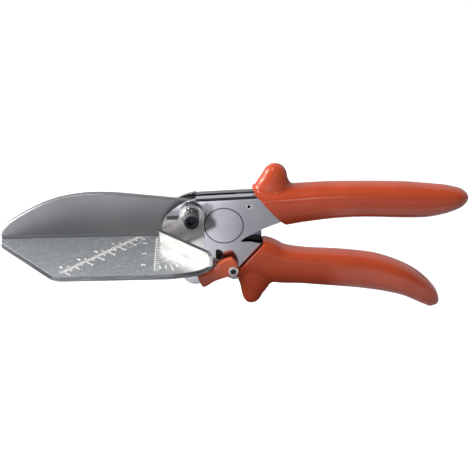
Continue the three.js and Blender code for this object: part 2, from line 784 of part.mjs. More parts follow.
add('lower_plate_front', lower_plate(-1), plated_steel);
add('lower_plate_back', lower_plate(1), plated_steel);
const clamp_face = -lower_outer + clamp_recess;
const clamp = spindle(clamp_centre, clamp_profile(0))
  .subtract(hexagon(clamp_centre, clamp_socket, clamp_face - overrun, clamp_face + clamp_shank_radius / 2));
add('blade_screw', clamp, black_steel);

// Blade and its tang, with a ground bevel on both sides of the edge
const edge_z = table_top + blade_lift;
const tang_low = scaled(tang_low_shares, tang_reach, -tang_drop);
const blade_outline = [
  [-blade_tip, edge_z],
  ...smooth(blade_back_shares.map(([x, z]) => [-x * blade_tip, z * blade_crown]), 4 * curve_steps),
  ...scaled(tang_top_shares, tang_reach, blade_crown),
  [tang_shelf_share * tang_reach, tang_seat],
  [tang_reach, tang_seat],
  ...tang_low,
  [-blade_heel, edge_z],
];
let blade = eased_slab(blade_outline, -blade_thickness / 2, blade_thickness / 2, back_chamfer, 1);
[-1, 1].forEach((side) => {
  const half = blade_thickness / 2 + overrun;
  const slope = (blade_thickness / 2 - edge_land) / edge_height;
  const wedge = [
    [side * edge_land, edge_z],
    [side * (edge_land - slope * overrun), edge_z - overrun],
    [side * half, edge_z - overrun],
    [side * half, edge_z + (half - edge_land) / slope],
  ];
  const depth = blade_tip - blade_heel;
  const geometry = new THREE.ExtrudeGeometry(shape_of(wedge), { depth, bevelEnabled: false });
  geometry.rotateX(Math.PI / 2);
  geometry.rotateZ(Math.PI / 2);
  geometry.translate(-blade_tip, 0, 0);
  blade = blade.subtract(solid(geometry));
});
blade = blade
  .subtract(bar(pivot, sleeve_radius + pin_gap, -lower_outer, lower_outer))
  .subtract(bar(clamp_centre, clamp_shank_radius + seat_gap, -lower_outer, lower_outer));
add('blade', blade, blade_steel);

// Lower spring seat, straddling the tang
const seat_left = spring_x - lower_seat_length / 2;
const seat_right = spring_x + lower_seat_length / 2;
const seat_half = lower_outer - seat_gap;
const groove_half = blade_thickness / 2 + seat_gap;
add('spring_seat', block(
  seat_left,
  seat_right,
  -seat_half,
  seat_half,
  lower_seat_bottom,
  lower_seat_top,
).subtract(block(
  seat_left - overrun,
  seat_right + overrun,
  -groove_half,
  groove_half,
  lower_seat_bottom - overrun,
  tang_seat + seat_gap,
)), grey_steel);

// Filler and rivet in the lower tail
const filler_thin = lower_inner - seat_gap;
const [rivet_x, rivet_z] = lower_tail_rivet;
add('lower_filler', block(
  rivet_x - tail_filler_length / 2,
  rivet_x + tail_filler_length / 2,
  -filler_thin,
  filler_thin,
  rivet_z - lower_filler_half_height,
  rivet_z + lower_filler_half_height,
).subtract(bar(lower_tail_rivet, tail_rivet_radius + seat_gap, -upper_outer, upper_outer)), grey_steel);
add(
  'lower_rivet',
  bar(lower_tail_rivet, tail_rivet_radius, -lower_outer, lower_outer, plain_sides),
  grey_steel,
);

// Latch, its spacer and its screw
const [latch_x, latch_z] = latch_axis;
const about_latch = (shares) => scaled(shares, latch_length, latch_length)
  .map(([x, z]) => [latch_x + x, latch_z + z]);
const latch_outline = [
  ...smooth(about_latch(latch_nose_shares), 2 * curve_steps),
  ...arc(latch_x, latch_z, latch_hub_radius, -90, 20, curve_steps),
  ...smooth(about_latch(latch_back_shares), 2 * curve_steps),
];
const latch = eased_slab(latch_outline, latch_front, latch_back, latch_bevel, 4)
  .subtract(bar(latch_axis, latch_screw_radius + pin_gap, latch_front - overrun, latch_back + overrun));
add('latch', latch, red_dip);
add('latch_spacer', spindle(latch_axis, [
  [latch_screw_radius + seat_gap, latch_back + seat_gap],
  [latch_spacer_radius, latch_back + seat_gap],
  [latch_spacer_radius, -lower_outer - seat_gap],
  [latch_screw_radius + seat_gap, -lower_outer - seat_gap],
  [latch_screw_radius + seat_gap, latch_back + seat_gap],
], plain_sides), grey_steel);
const latch_head_back = latch_front - seat_gap;
const latch_head_front = latch_head_back - latch_head_height;
const latch_screw = spindle(latch_axis, [
  [0, latch_head_front],
  [latch_head_radius - latch_head_height / 3, latch_head_front],
  [latch_head_radius, latch_head_front + latch_head_height / 3],
  [latch_head_radius, latch_head_back],
  [latch_screw_radius, latch_head_back],
  [latch_screw_radius, lower_outer],
  [0, lower_outer],
]).subtract(hexagon(
  latch_axis,
  latch_socket,
  latch_head_front - overrun,
  latch_head_front + latch_socket_depth,
));
add('latch_screw', latch_screw, bright_steel);

// Dipped grips, hollow where the side plates run in, each cut off along its slanted front edge
function beyond([x0, z0], [x1, z1], distance) {
  const length = Math.hypot(x1 - x0, z1 - z0);
  return [x1 + ((x1 - x0) * distance) / length, z1 + ((z1 - z0) * distance) / length];
}

function grip(spine, sizes, guard_spine, guard_sizes, mouth, tail, tail_half) {
  return loft(spine, sizes, grip_steps)
    .add(loft(guard_spine, guard_sizes, guard_steps))
    .subtract(slab(mouth, -3 * upper_grip_half_width, 3 * upper_grip_half_width))
    .subtract(slab(tail, -tail_half - dip_gap, tail_half + dip_gap));
}

const upper_length = upper_grip_end - upper_grip_start;
const upper_mouth = [
  [upper_lip[0], guard_top + overrun],
  upper_lip,
  beyond(upper_lip, upper_chin, 2 * upper_grip_half_height),
  [-upper_grip_start, -table_drop - upper_grip_half_height],
  [-upper_grip_start, guard_top + overrun],
];
const upper_hollow = [
  ...upper_tail(dip_gap),
  [flange_end + dip_gap, flange_top(flange_end) + dip_gap],
  [flange_start, plate_top + dip_gap],
];
add('upper_grip', grip(
  upper_spine_shares.map(([x, z]) => [upper_grip_start + x * upper_length, z * upper_grip_middle]),
  scaled(upper_size_shares, upper_grip_half_height, upper_grip_half_width),
  thumb_spine_shares.map(([x, z]) => [thumb_guard_x + x * thumb_guard_half, z * guard_top]),
  scaled(thumb_size_shares, thumb_guard_half, upper_grip_half_width),
  upper_mouth,
  upper_hollow,
  upper_outer,
), red_dip);

const lower_length = lower_grip_end - lower_grip_start;
const lower_mouth = [
  beyond(lower_chin, lower_lip, upper_grip_half_height),
  beyond(lower_lip, lower_chin, upper_grip_half_height),
  [-lower_grip_start, lower_chin[1] - upper_grip_half_height],
  [-lower_grip_start, lower_lip[1] + upper_grip_half_height],
];
add('lower_grip', grip(
  lower_spine_shares.map(([x, z]) => [lower_grip_start + x * lower_length, -z * lower_grip_drop]),
  scaled(lower_size_shares, lower_grip_half_height, lower_grip_half_width),
  finger_spine_shares.map(([x, z]) => [finger_guard_x + x * finger_guard_half, -z * finger_guard_drop]),
  scaled(finger_size_shares, finger_guard_half, lower_grip_half_width),
  lower_mouth,
  lower_tail(dip_gap),
  lower_outer,
), red_dip);

// The origin goes under the middle of the whole tool, at the height of its lowest point
const box = new THREE.Box3().setFromObject(tool);
const middle = box.getCenter(new THREE.Vector3());
tool.children.forEach((piece) => piece.position.set(-middle.x, -middle.y, -box.min.z));

export default tool;
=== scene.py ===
# %% [markdown]
# # Mitre shears: finishes, grips and engraving
# The hard parts come in as a finished frame, in metres, with the tool's own axes: X from the blade's tip
# to the grips, Y from the front to the back, Z up. This lesson gives every surface its finish, makes the
# steel pieces again with the small rounded rims that catch light, makes the dipped grips as smooth bodies,
# and adds the scales that are engraved on the table.

# %% Load the frame
import math

import bmesh
import bpy
import numpy as np
from mathutils import Matrix, Vector


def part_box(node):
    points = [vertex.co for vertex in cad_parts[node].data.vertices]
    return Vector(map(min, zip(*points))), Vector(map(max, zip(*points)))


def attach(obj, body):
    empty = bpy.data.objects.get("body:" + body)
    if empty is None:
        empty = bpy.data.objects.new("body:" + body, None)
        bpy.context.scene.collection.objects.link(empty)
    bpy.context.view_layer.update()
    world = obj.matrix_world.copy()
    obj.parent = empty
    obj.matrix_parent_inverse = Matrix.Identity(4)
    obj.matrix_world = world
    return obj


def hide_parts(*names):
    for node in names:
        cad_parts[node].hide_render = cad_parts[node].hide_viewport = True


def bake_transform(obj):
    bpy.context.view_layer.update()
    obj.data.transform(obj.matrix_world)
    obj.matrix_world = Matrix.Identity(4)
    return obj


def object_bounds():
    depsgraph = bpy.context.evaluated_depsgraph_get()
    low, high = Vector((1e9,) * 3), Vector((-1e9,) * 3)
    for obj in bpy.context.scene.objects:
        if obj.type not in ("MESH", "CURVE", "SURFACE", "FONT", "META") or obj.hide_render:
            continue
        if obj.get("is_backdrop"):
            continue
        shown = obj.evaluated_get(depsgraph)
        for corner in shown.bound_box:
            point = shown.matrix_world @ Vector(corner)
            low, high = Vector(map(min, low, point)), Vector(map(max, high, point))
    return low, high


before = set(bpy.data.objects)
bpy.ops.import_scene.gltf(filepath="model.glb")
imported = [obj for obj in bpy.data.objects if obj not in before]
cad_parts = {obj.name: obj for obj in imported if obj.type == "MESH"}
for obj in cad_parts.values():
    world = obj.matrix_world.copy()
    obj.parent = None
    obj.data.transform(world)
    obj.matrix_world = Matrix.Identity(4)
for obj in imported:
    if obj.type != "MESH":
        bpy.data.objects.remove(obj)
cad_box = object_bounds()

print("nodes in the frame:", len(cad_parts))

# %% [markdown]
# ## Where things are
# Every size below is in millimetres from the main pivot, as on a toolmaker's drawing. One helper turns such
# a place into the frame's metres. The pivot is read from the boxes of the bolt and the two side plates, so
# the lesson needs no offset typed by hand.

# %% The main pivot
MM = 0.001
bolt_low, bolt_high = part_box("pivot_bolt")
front_low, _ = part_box("upper_plate_front")
_, back_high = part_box("upper_plate_back")
pivot = Vector((
    (bolt_low.x + bolt_high.x) / 2,
    (front_low.y + back_high.y) / 2,
    (bolt_low.z + bolt_high.z) / 2,
))


def at(x, y, z):
    return pivot + Vector((x, y, z)) * MM


print("main pivot, mm:", [round(c / MM, 2) for c in pivot])

# %% [markdown]
# ## Camera
# The photograph was taken from the front with a long lens, 27 degrees above the table's plane and turned by
# about one degree. A camera looks along its own -Z axis with +Y upward, so three axes are worked out from
# the viewing direction and the roll, and they become the columns of its matrix.

# %% Camera
CAMERA_ELEVATION = math.radians(27.0)
CAMERA_ROLL = math.radians(1.2)
SENSOR_MM = 36.0
PHOTO_PIXELS = 470
FOCAL_PIXELS = 1571.4
CAMERA_PLACE = at(29.92, -988.4, 483.11)

forward = Vector((0, math.cos(CAMERA_ELEVATION), -math.sin(CAMERA_ELEVATION)))
level = Vector((1, 0, 0))
upright = Vector((0, math.sin(CAMERA_ELEVATION), math.cos(CAMERA_ELEVATION)))
right = level * math.cos(CAMERA_ROLL) - upright * math.sin(CAMERA_ROLL)
up = level * math.sin(CAMERA_ROLL) + upright * math.cos(CAMERA_ROLL)

lens = bpy.data.cameras.new("long_lens")
lens.sensor_width = SENSOR_MM
lens.lens = FOCAL_PIXELS * SENSOR_MM / PHOTO_PIXELS
lens.clip_end = 20
camera = bpy.data.objects.new("long_lens", lens)
axes = Matrix((right, up, -forward)).transposed().to_4x4()
camera.matrix_world = Matrix.Translation(CAMERA_PLACE) @ axes
bpy.context.collection.objects.link(camera)
bpy.context.scene.camera = camera
print("focal length, mm:", round(lens.lens, 1))

# %% [markdown]
# ## Lamps
# Polished steel shows what stands round it, so the place of each lamp is chosen by what mirrors it. Two
# large boxes, overhead and at the front left, are hidden from mirrored rays: they light the grips' skin
# without a glare on steel. A warm card at the left is the other way round, seen only by mirrored rays. With
# the box beside it, it turns the fence white. A small head in front and above makes the small bright points
# on the grips, and a short low strip draws one pale line on each.

# %% Lamps
scene = bpy.context.scene
scene.view_settings.view_transform = "Standard"


def soft_box(name, place, width, height, watts, target=at(30, -10, -10)):
    data = bpy.data.lights.new(name, "AREA")
    data.shape = "RECTANGLE"
    data.size, data.size_y = width, height
    data.energy = watts
    lamp = bpy.data.objects.new(name, data)
    aim = (target - place).to_track_quat("-Z", "Y").to_matrix().to_4x4()
    lamp.matrix_world = Matrix.Translation(place) @ aim
    bpy.context.collection.objects.link(lamp)
    return lamp


overhead = soft_box("box_overhead", at(-380, -520, 860), 1.0, 0.7, 9)
front_left = soft_box("box_at_front_left", at(-880, -240, 480), 0.7, 0.7, 4.5)
card = soft_box("card_at_left", at(-900, -40, 450), 0.5, 0.4, 7)
overhead.visible_glossy = False
front_left.visible_glossy = False
card.visible_diffuse = False
card.data.color = (1.0, 0.98, 0.94)
soft_box("box_at_left", at(-900, -60, 430), 0.9, 0.6, 7)
soft_box("head_in_front", at(-330, -620, 900), 0.07, 0.07, 2.5)
soft_box("low_strip", at(134, -1100, 90), 0.06, 0.03, 0.15)

# %% [markdown]
# ## Helpers for node trees
# A node tree is a drawing made of small steps, and four of them return again and again: a sum on two
# numbers, a number moved from one range to another, two colours mixed, and one part of a place or of a
# surface's own direction. Each gets a function that adds its node and gives back the socket to read.

# %% Node helpers
def math_node(tree, operation, first, second=0.0):
    node = tree.nodes.new("ShaderNodeMath")
    node.operation = operation
    for socket, value in zip(node.inputs, (first, second)):
        if isinstance(value, (int, float)):
            socket.default_value = value
        else:
            tree.links.new(value, socket)
    return node.outputs[0]


def ranged(tree, value, low, high, to_low, to_high):
    spread = tree.nodes.new("ShaderNodeMapRange")
    for socket, number in zip(list(spread.inputs)[1:5], (low, high, to_low, to_high)):
        socket.default_value = number
    tree.links.new(value, spread.inputs["Value"])
    return spread.outputs["Result"]


def blended(tree, amount, first, second):
    mix = tree.nodes.new("ShaderNodeMix")
    mix.data_type = "RGBA"
    tree.links.new(amount, mix.inputs["Factor"])
    for socket, colour in ((mix.inputs["A"], first), (mix.inputs["B"], second)):
        if isinstance(colour, tuple):
            socket.default_value = (*colour, 1)
        else:
            tree.links.new(colour, socket)
    return mix.outputs["Result"]


def coordinate(tree, kind, axis):
    source = tree.nodes.new("ShaderNodeTexCoord")
    split = tree.nodes.new("ShaderNodeSeparateXYZ")
    tree.links.new(source.outputs[kind], split.inputs[0])
    return split.outputs[axis]


print("node helpers: math_node, ranged, blended, coordinate")

# %% [markdown]
# ## Room
# The room is a plain glow that the camera sees as white. All other rays see a pale grey room with a dark
# cloth hung in front above the camera. The bent flanges mirror that cloth, which draws the two dark lines
# along the top of the lever. The cloth is the direction of a ray compared with the cloth's own direction.

# %% Room
CLOTH_ELEVATION = math.radians(52)
CLOTH_STARTS, CLOTH_FULL = 0.32, 0.55
world = bpy.data.worlds.new("studio")
scene.world = world
world.use_nodes = True
room = world.node_tree
room.nodes.clear()
room_out = room.nodes.new("ShaderNodeOutputWorld")
white = room.nodes.new("ShaderNodeBackground")
grey = room.nodes.new("ShaderNodeBackground")
camera_or_not = room.nodes.new("ShaderNodeMixShader")
ray_kind = room.nodes.new("ShaderNodeLightPath")
direction = room.nodes.new("ShaderNodeTexCoord")
towards_cloth = room.nodes.new("ShaderNodeVectorMath")
cloth = room.nodes.new("ShaderNodeValToRGB")
towards_cloth.operation = "DOT_PRODUCT"
towards_cloth.inputs[1].default_value = (0, -math.cos(CLOTH_ELEVATION), math.sin(CLOTH_ELEVATION))
room.links.new(direction.outputs["Generated"], towards_cloth.inputs[0])
room.links.new(towards_cloth.outputs["Value"], cloth.inputs[0])
cloth.color_ramp.elements[0].position = CLOTH_STARTS
cloth.color_ramp.elements[0].color = (0.7, 0.71, 0.73, 1)
cloth.color_ramp.elements[1].position = CLOTH_FULL
cloth.color_ramp.elements[1].color = (0.025, 0.025, 0.03, 1)
white.inputs["Color"].default_value = (1, 1, 1, 1)
room.links.new(cloth.outputs["Color"], grey.inputs["Color"])
room.links.new(ray_kind.outputs["Is Camera Ray"], camera_or_not.inputs[0])
room.links.new(grey.outputs[0], camera_or_not.inputs[1])
room.links.new(white.outputs[0], camera_or_not.inputs[2])
room.links.new(camera_or_not.outputs[0], room_out.inputs[0])
print("room nodes:", len(room.nodes))

# %% [markdown]
# ## Floor
# The floor is one large pale sheet, low enough for the lower grip to swing clear of it when it opens. The
# camera sees it as nearly white with a soft shadow, which is a diffuse colour plus a plain glow. The light
# that it throws back onto the tool is that of a plain grey table. Mirrored rays don't see it, because the
# next step gives them a sheet of their own.

# %% Floor
SHEET_REACH = 6.0
ROOM_TO_OPEN_MM = 66
PAPER_GLOW, PAPER_GREY, BOUNCE_GREY = 0.72, 0.5, 0.28


def stage_sheet(name, height):
    sides = [(-1, -1), (1, -1), (1, 1), (-1, 1)]
    corners = [(x * SHEET_REACH, y * SHEET_REACH, height) for x, y in sides]
    mesh = bpy.data.meshes.new(name)
    mesh.from_pydata(corners, [], [(0, 1, 2, 3)])
    sheet = bpy.data.objects.new(name, mesh)
    material = bpy.data.materials.new(name + "_paper")
    material.use_nodes = True
    material.node_tree.nodes.clear()
    mesh.materials.append(material)
    bpy.context.collection.objects.link(sheet)
    sheet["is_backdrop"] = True
    return sheet, material.node_tree


def grey_diffuse(tree, grey_level):
    shader = tree.nodes.new("ShaderNodeBsdfDiffuse")
    shader.inputs["Color"].default_value = (grey_level, grey_level, grey_level, 1)
    return shader


floor, paper = stage_sheet("floor", cad_box[0].z - ROOM_TO_OPEN_MM * MM)
glow = paper.nodes.new("ShaderNodeEmission")
shown = paper.nodes.new("ShaderNodeAddShader")
rays = paper.nodes.new("ShaderNodeLightPath")
by_ray = paper.nodes.new("ShaderNodeMixShader")
paper_out = paper.nodes.new("ShaderNodeOutputMaterial")
glow.inputs["Strength"].default_value = PAPER_GLOW
paper.links.new(grey_diffuse(paper, PAPER_GREY).outputs[0], shown.inputs[0])
paper.links.new(glow.outputs[0], shown.inputs[1])
paper.links.new(rays.outputs["Is Camera Ray"], by_ray.inputs[0])
paper.links.new(grey_diffuse(paper, BOUNCE_GREY).outputs[0], by_ray.inputs[1])
paper.links.new(shown.outputs[0], by_ray.inputs[2])
paper.links.new(by_ray.outputs[0], paper_out.inputs[0])
floor.visible_glossy = False
print("floor below the tool, mm:", ROOM_TO_OPEN_MM)

# %% [markdown]
# ## Cards under the tool
# The flat plates mirror what lies in front of and below them, so a photographer would lay cards there. This
# sheet is seen only by mirrored rays and casts no shadow. It carries painted light and shade: light that
# falls off from white in front of the fence to grey in front of the grips, a painted shadow under the tool,
# darker far away, and a painted pool of light under the grips' far end.

# %% Cards
CARDS_FROM, CARDS_TO = at(-30, 0, 0).x, at(170, 0, 0).x
# Painted light on the cards: pale at the left, falling off to grey towards the right.
CARD_LIGHT_FALLOFF = [(0.05, 0.88), (0.225, 0.58), (0.31, 0.34), (0.425, 0.27), (0.62, 0.3)]


def painted_cards(tree):
    tone = tree.nodes.new("ShaderNodeValToRGB")
    toned = tree.nodes.new("ShaderNodeVectorMath")
    toned.operation = "SCALE"
    for _ in CARD_LIGHT_FALLOFF[2:]:
        tone.color_ramp.elements.new(1.0)
    for stop, (where, grey_level) in zip(tone.color_ramp.elements, CARD_LIGHT_FALLOFF):
        stop.position = where
        stop.color = (grey_level, grey_level, grey_level * 1.05, 1)
    along = coordinate(tree, "Object", "X")
    across = coordinate(tree, "Object", "Y")
    tree.links.new(ranged(tree, along, CARDS_FROM, CARDS_TO, 0, 1), tone.inputs[0])
    # A painted shadow under the tool, a brighter band in front, darker far away, and a painted pool of
    # light under the grips' far end.
    away = math_node(tree, "ABSOLUTE", math_node(tree, "SUBTRACT", across, pivot.y))
    painted_shadow_under_tool = ranged(tree, away, 40 * MM, 66 * MM, 0.15, 1)
    in_front = ranged(tree, away, 190 * MM, 212 * MM, 1, 1.5)
    far_off = ranged(tree, away, 330 * MM, 430 * MM, 1, 0.35)
    right_end = ranged(tree, along, at(92, 0, 0).x, at(112, 0, 0).x, 0, 1)
    near = ranged(tree, away, 85 * MM, 125 * MM, 3, 0.3)
    painted_light_right_end = math_node(tree, "MULTIPLY", right_end, near)
    strength = math_node(tree, "MAXIMUM", painted_shadow_under_tool, painted_light_right_end)
    for share in (in_front, far_off):
        strength = math_node(tree, "MULTIPLY", strength, share)
    tree.links.new(tone.outputs["Color"], toned.inputs[0])
    tree.links.new(strength, toned.inputs["Scale"])
    return toned.outputs[0]


cards, paint = stage_sheet("cards", cad_box[0].z)
mirrored = paint.nodes.new("ShaderNodeBsdfDiffuse")
cards_out = paint.nodes.new("ShaderNodeOutputMaterial")
paint.links.new(painted_cards(paint), mirrored.inputs["Color"])
paint.links.new(mirrored.outputs[0], cards_out.inputs[0])
cards.visible_camera = False
cards.visible_diffuse = False
cards.visible_shadow = False
print("cards height, mm:", round(cad_box[0].z / MM, 2))

# %% [markdown]
# ## Metal finishes
# Every metal here is one shader with three things that real metal has: a colour that drifts a little, a
# roughness that isn't even, and very fine unevenness of the surface. All three come from noise in Object
# coordinates, in metres, so the grain has its true size on every piece. A helper makes the noise, stretched
# along an axis where the metal was brushed or ground.

# %% Noise and finish helpers
finishes = {}


def noise(tree, scale, stretch=(1, 1, 1), turn=0.0, detail=3.0):
    place = tree.nodes.new("ShaderNodeTexCoord")
    mapping = tree.nodes.new("ShaderNodeMapping")
    texture = tree.nodes.new("ShaderNodeTexNoise")
    mapping.vector_type = "TEXTURE"
    mapping.inputs["Rotation"].default_value = (0, 0, turn)
    mapping.inputs["Scale"].default_value = stretch
    texture.inputs["Scale"].default_value = scale
    texture.inputs["Detail"].default_value = detail
    tree.links.new(place.outputs["Object"], mapping.inputs["Vector"])
    tree.links.new(mapping.outputs["Vector"], texture.inputs["Vector"])
    return texture.outputs["Fac"]


def shader_inputs(tree):
    return tree.nodes["Principled BSDF"].inputs


def painted(tree, colour, roughness):
    tree.links.new(colour, shader_inputs(tree)["Base Color"])
    tree.links.new(roughness, shader_inputs(tree)["Roughness"])


def uneven(tree, value, depth_mm, below=None):
    bump = tree.nodes.new("ShaderNodeBump")
    bump.inputs["Distance"].default_value = depth_mm * MM
    tree.links.new(value, bump.inputs["Height"])
    if below is not None:
        tree.links.new(below.outputs["Normal"], bump.inputs["Normal"])
    tree.links.new(bump.outputs["Normal"], shader_inputs(tree)["Normal"])
    return bump


def new_finish(name, metallic):
    material = bpy.data.materials.new(name)
    material.use_nodes = True
    finishes[name] = material
    shader_inputs(material.node_tree)["Metallic"].default_value = metallic
    return material.node_tree


def metal(name, dark, light, roughness, grain_scale, stretch=(1, 1, 1), depth_mm=0.002, metallic=1.0):
    tree = new_finish(name, metallic)
    cloud = noise(tree, 90.0)
    grain = noise(tree, grain_scale, stretch)
    drift = blended(tree, ranged(tree, cloud, 0.35, 0.65, 0, 1), dark, light)
    painted(tree, drift, ranged(tree, grain, 0.3, 0.7, *roughness))
    uneven(tree, grain, depth_mm)
    return tree


# %% Steel finishes
metal("plated_steel", (0.6, 0.6, 0.64), (0.68, 0.68, 0.72), (0.1, 0.17), 900, depth_mm=0.001)
metal("bright_steel", (0.72, 0.72, 0.72), (0.8, 0.8, 0.79), (0.08, 0.16), 1500, depth_mm=0.001)
metal("grey_steel", (0.34, 0.34, 0.345), (0.48, 0.48, 0.485), (0.42, 0.55), 1200)
metal("black_steel", (0.018, 0.018, 0.02), (0.035, 0.035, 0.04), (0.28, 0.4), 1600)
metal("spring_steel", (0.08, 0.08, 0.085), (0.14, 0.14, 0.145), (0.25, 0.4), 1400)
print("steel finishes:", sorted(finishes))

# %% [markdown]
# ## Cut edges
# A side plate is punched from sheet, so its edges are torn rather than rolled and duller than its faces.
# They are also painted dark, as the shade that outlines the plates. Texture Coordinate gives the surface's
# own normal, and an edge is where that normal has little of Y in it. The flange's bent top looks up and is
# no cut edge, so a normal close to Z is left out there. The rear plate is a painted copy of the same
# plating: its flange top is painted darker as shade and its edges lighter as painted light. A finish is
# copied and painted over through a mask.

# %% Cut edges
def copied(finish, name):
    material = finishes[finish].copy()
    material.name = name
    finishes[name] = material
    return material.node_tree


def repainted(tree, mask, colour, roughness):
    clean = shader_inputs(tree)["Base Color"].links[0].from_socket
    rough = shader_inputs(tree)["Roughness"].links[0].from_socket
    kept = math_node(tree, "MULTIPLY", rough, math_node(tree, "SUBTRACT", 1.0, mask))
    added = math_node(tree, "MULTIPLY", mask, roughness)
    painted(tree, blended(tree, mask, clean, colour), math_node(tree, "ADD", kept, added))


def side_mask(tree, low, high):
    across = math_node(tree, "ABSOLUTE", coordinate(tree, "Normal", "Y"))
    return ranged(tree, across, low, high, 1, 0)


def with_cut_edges(name, top=None, edge=(0.1, 0.1, 0.11)):
    tree = copied("plated_steel", name)
    mask = side_mask(tree, 0.45, 0.75)
    if top is not None:
        bent_top = ranged(tree, coordinate(tree, "Normal", "Z"), 0.93, 0.97, 0, 1)
        mask = math_node(tree, "MULTIPLY", mask, math_node(tree, "SUBTRACT", 1.0, bent_top))
        repainted(tree, bent_top, top, 0.3)
    # The edge colour is painted shade by default: dark outlines on the plates.
    repainted(tree, mask, edge, 0.36)


with_cut_edges("plated_steel_flanged", top=(0.62, 0.62, 0.65))
# The rear plate's darker flange top is painted shade, and its lighter edges are painted light.
with_cut_edges("plated_steel_rear_painted_light_and_shade", top=(0.3, 0.3, 0.31), edge=(0.42, 0.41, 0.38))
with_cut_edges("plated_steel_flat")
print("finishes now:", len(finishes))

# %% [markdown]
# ## Fence finish
# Strips slide along the fence's wall, so it is rubbed in long streaks, and the wall is also painted darker
# than the fence's other faces, as shade against the strong light from the left. Its top edge is painted
# dark as shade. Of its large faces only the wall looks to the left, so the normal's X picks it out.

# %% Fence finish
tree = metal(
    "plated_steel_fence", (0.66, 0.655, 0.64), (0.86, 0.855, 0.84), (0.16, 0.28), 700, (1, 1, 6),
    metallic=0.75,
)
# The top edge is painted dark as shade.
top_edge_shade = ranged(tree, coordinate(tree, "Normal", "Z"), 0.6, 0.9, 0, 1)
repainted(tree, top_edge_shade, (0.17, 0.17, 0.18), 0.45)
# The wall: rubbed streaks on a colour painted darker than the rest of the fence, as shade.
streaks = ranged(tree, noise(tree, 900, (9, 9, 1), detail=4.0), 0.4, 0.62, 0, 1)
rubbed_and_shaded = blended(tree, streaks, (0.4, 0.39, 0.365), (0.56, 0.56, 0.55))
shaded_wall = ranged(tree, coordinate(tree, "Normal", "X"), -0.6, -0.4, 1, 0)
repainted(tree, shaded_wall, rubbed_and_shaded, 0.34)
print("fence nodes:", len(tree.nodes))

# %% [markdown]
# ## Screws, pin and bush
# These small pieces have two surfaces each. The main screw's black has worn off its side. The hollow pin's
# side, mostly the inside of its bore, is painted dark as shade, the latch's screw has its socket painted
# dark as the shade in it, and the bush's fine ridges are drawn as dark lines of painted shade. The normal's
# Y tells a side from a face, and the distance from the screw's axis tells its socket.

# %% Screws, pin and bush
PIN_DARK, PIN_LIGHT = (0.78, 0.77, 0.74), (0.88, 0.87, 0.85)
SOCKET_RADIUS_MM, SOCKET_EDGE_MM = 2.05, 2.3


def from_axis(tree, centre):
    place = tree.nodes.new("ShaderNodeTexCoord")
    flat = tree.nodes.new("ShaderNodeVectorMath")
    reach = tree.nodes.new("ShaderNodeVectorMath")
    flat.operation = "MULTIPLY"
    flat.inputs[1].default_value = (1, 0, 1)
    reach.operation = "DISTANCE"
    reach.inputs[1].default_value = (centre.x, 0, centre.z)
    tree.links.new(place.outputs["Object"], flat.inputs[0])
    tree.links.new(flat.outputs[0], reach.inputs[0])
    return reach.outputs["Value"]


tree = copied("black_steel", "black_steel_worn")
repainted(tree, side_mask(tree, 0.3, 0.6), (0.24, 0.24, 0.25), 0.5)

tree = metal("bright_steel_shaded_bore", PIN_DARK, PIN_LIGHT, (0.2, 0.34), 1500, metallic=0.35)
# The pin's side, mostly the inside of its bore, is painted dark as shade.
repainted(tree, side_mask(tree, 0.3, 0.6), (0.02, 0.02, 0.02), 0.6)

tree = metal("bright_steel_shaded_socket", PIN_DARK, PIN_LIGHT, (0.2, 0.34), 1500, metallic=0.6)
low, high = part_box("latch_screw")
off_axis = from_axis(tree, (low + high) / 2)
# The socket is painted dark as the shade inside it.
socket = ranged(tree, off_axis, SOCKET_RADIUS_MM * MM, SOCKET_EDGE_MM * MM, 1, 0)
repainted(tree, socket, (0.025, 0.028, 0.035), 0.4)

tree = copied("grey_steel", "grey_steel_ridged")
# Dark lines along the bush are painted shade between its fine ridges.
ridge_shade_lines = ranged(tree, noise(tree, 1300, (1, 14, 1), detail=1.0), 0.44, 0.56, 0, 1)
repainted(tree, ridge_shade_lines, (0.26, 0.26, 0.265), 0.5)
print("finishes now:", len(finishes))

# %% [markdown]
# ## Blade finish
# The blade is ground and blasted to an even satin grey. Its grinding marks are finer than a tenth of a
# millimetre and run along the blade, so the noise is stretched along X. Near its cutting edge, where it
# meets the table, a thin dark band is painted as the shadow at that contact.

# %% Blade finish
CONTACT_SHADOW_FULL, CONTACT_SHADOW_ENDS = at(0, 0, -19.8).z, at(0, 0, -18.9).z

tree = new_finish("blade_steel", 0.75)
marks = noise(tree, 840, (23, 1, 1), detail=6.0)
cloud = ranged(tree, noise(tree, 25), 0.35, 0.65, 0, 1)
dull = blended(tree, cloud, (0.235, 0.235, 0.243), (0.28, 0.28, 0.288))
painted(tree, dull, ranged(tree, marks, 0.3, 0.7, 0.32, 0.42))
uneven(tree, marks, 0.004)
# A painted contact shadow along the cutting edge, where the blade meets the table.
contact_shadow = ranged(tree, coordinate(tree, "Object", "Z"), CONTACT_SHADOW_FULL, CONTACT_SHADOW_ENDS, 1, 0)
repainted(tree, contact_shadow, (0.02, 0.02, 0.02), 0.4)
print("blade nodes:", len(tree.nodes))

# %% [markdown]
# ## Table finish
# The table is bare aluminium that strips have been cut on, so its top is mottled at about a millimetre and
# marked by a few fine scratches. Most of them lie along the mitre, near 45 degrees. A scratch layer is
# noise stretched almost to lines, of which only the crests are left. The plate's side is sawn, with marks
# that run along it, and is painted darker as shade. Its upper rim is painted bright as a highlight.

# %% Table finish
SCRATCHES = [(45, 900, 0.66), (38, 1300, 0.67), (-20, 1000, 0.7)]

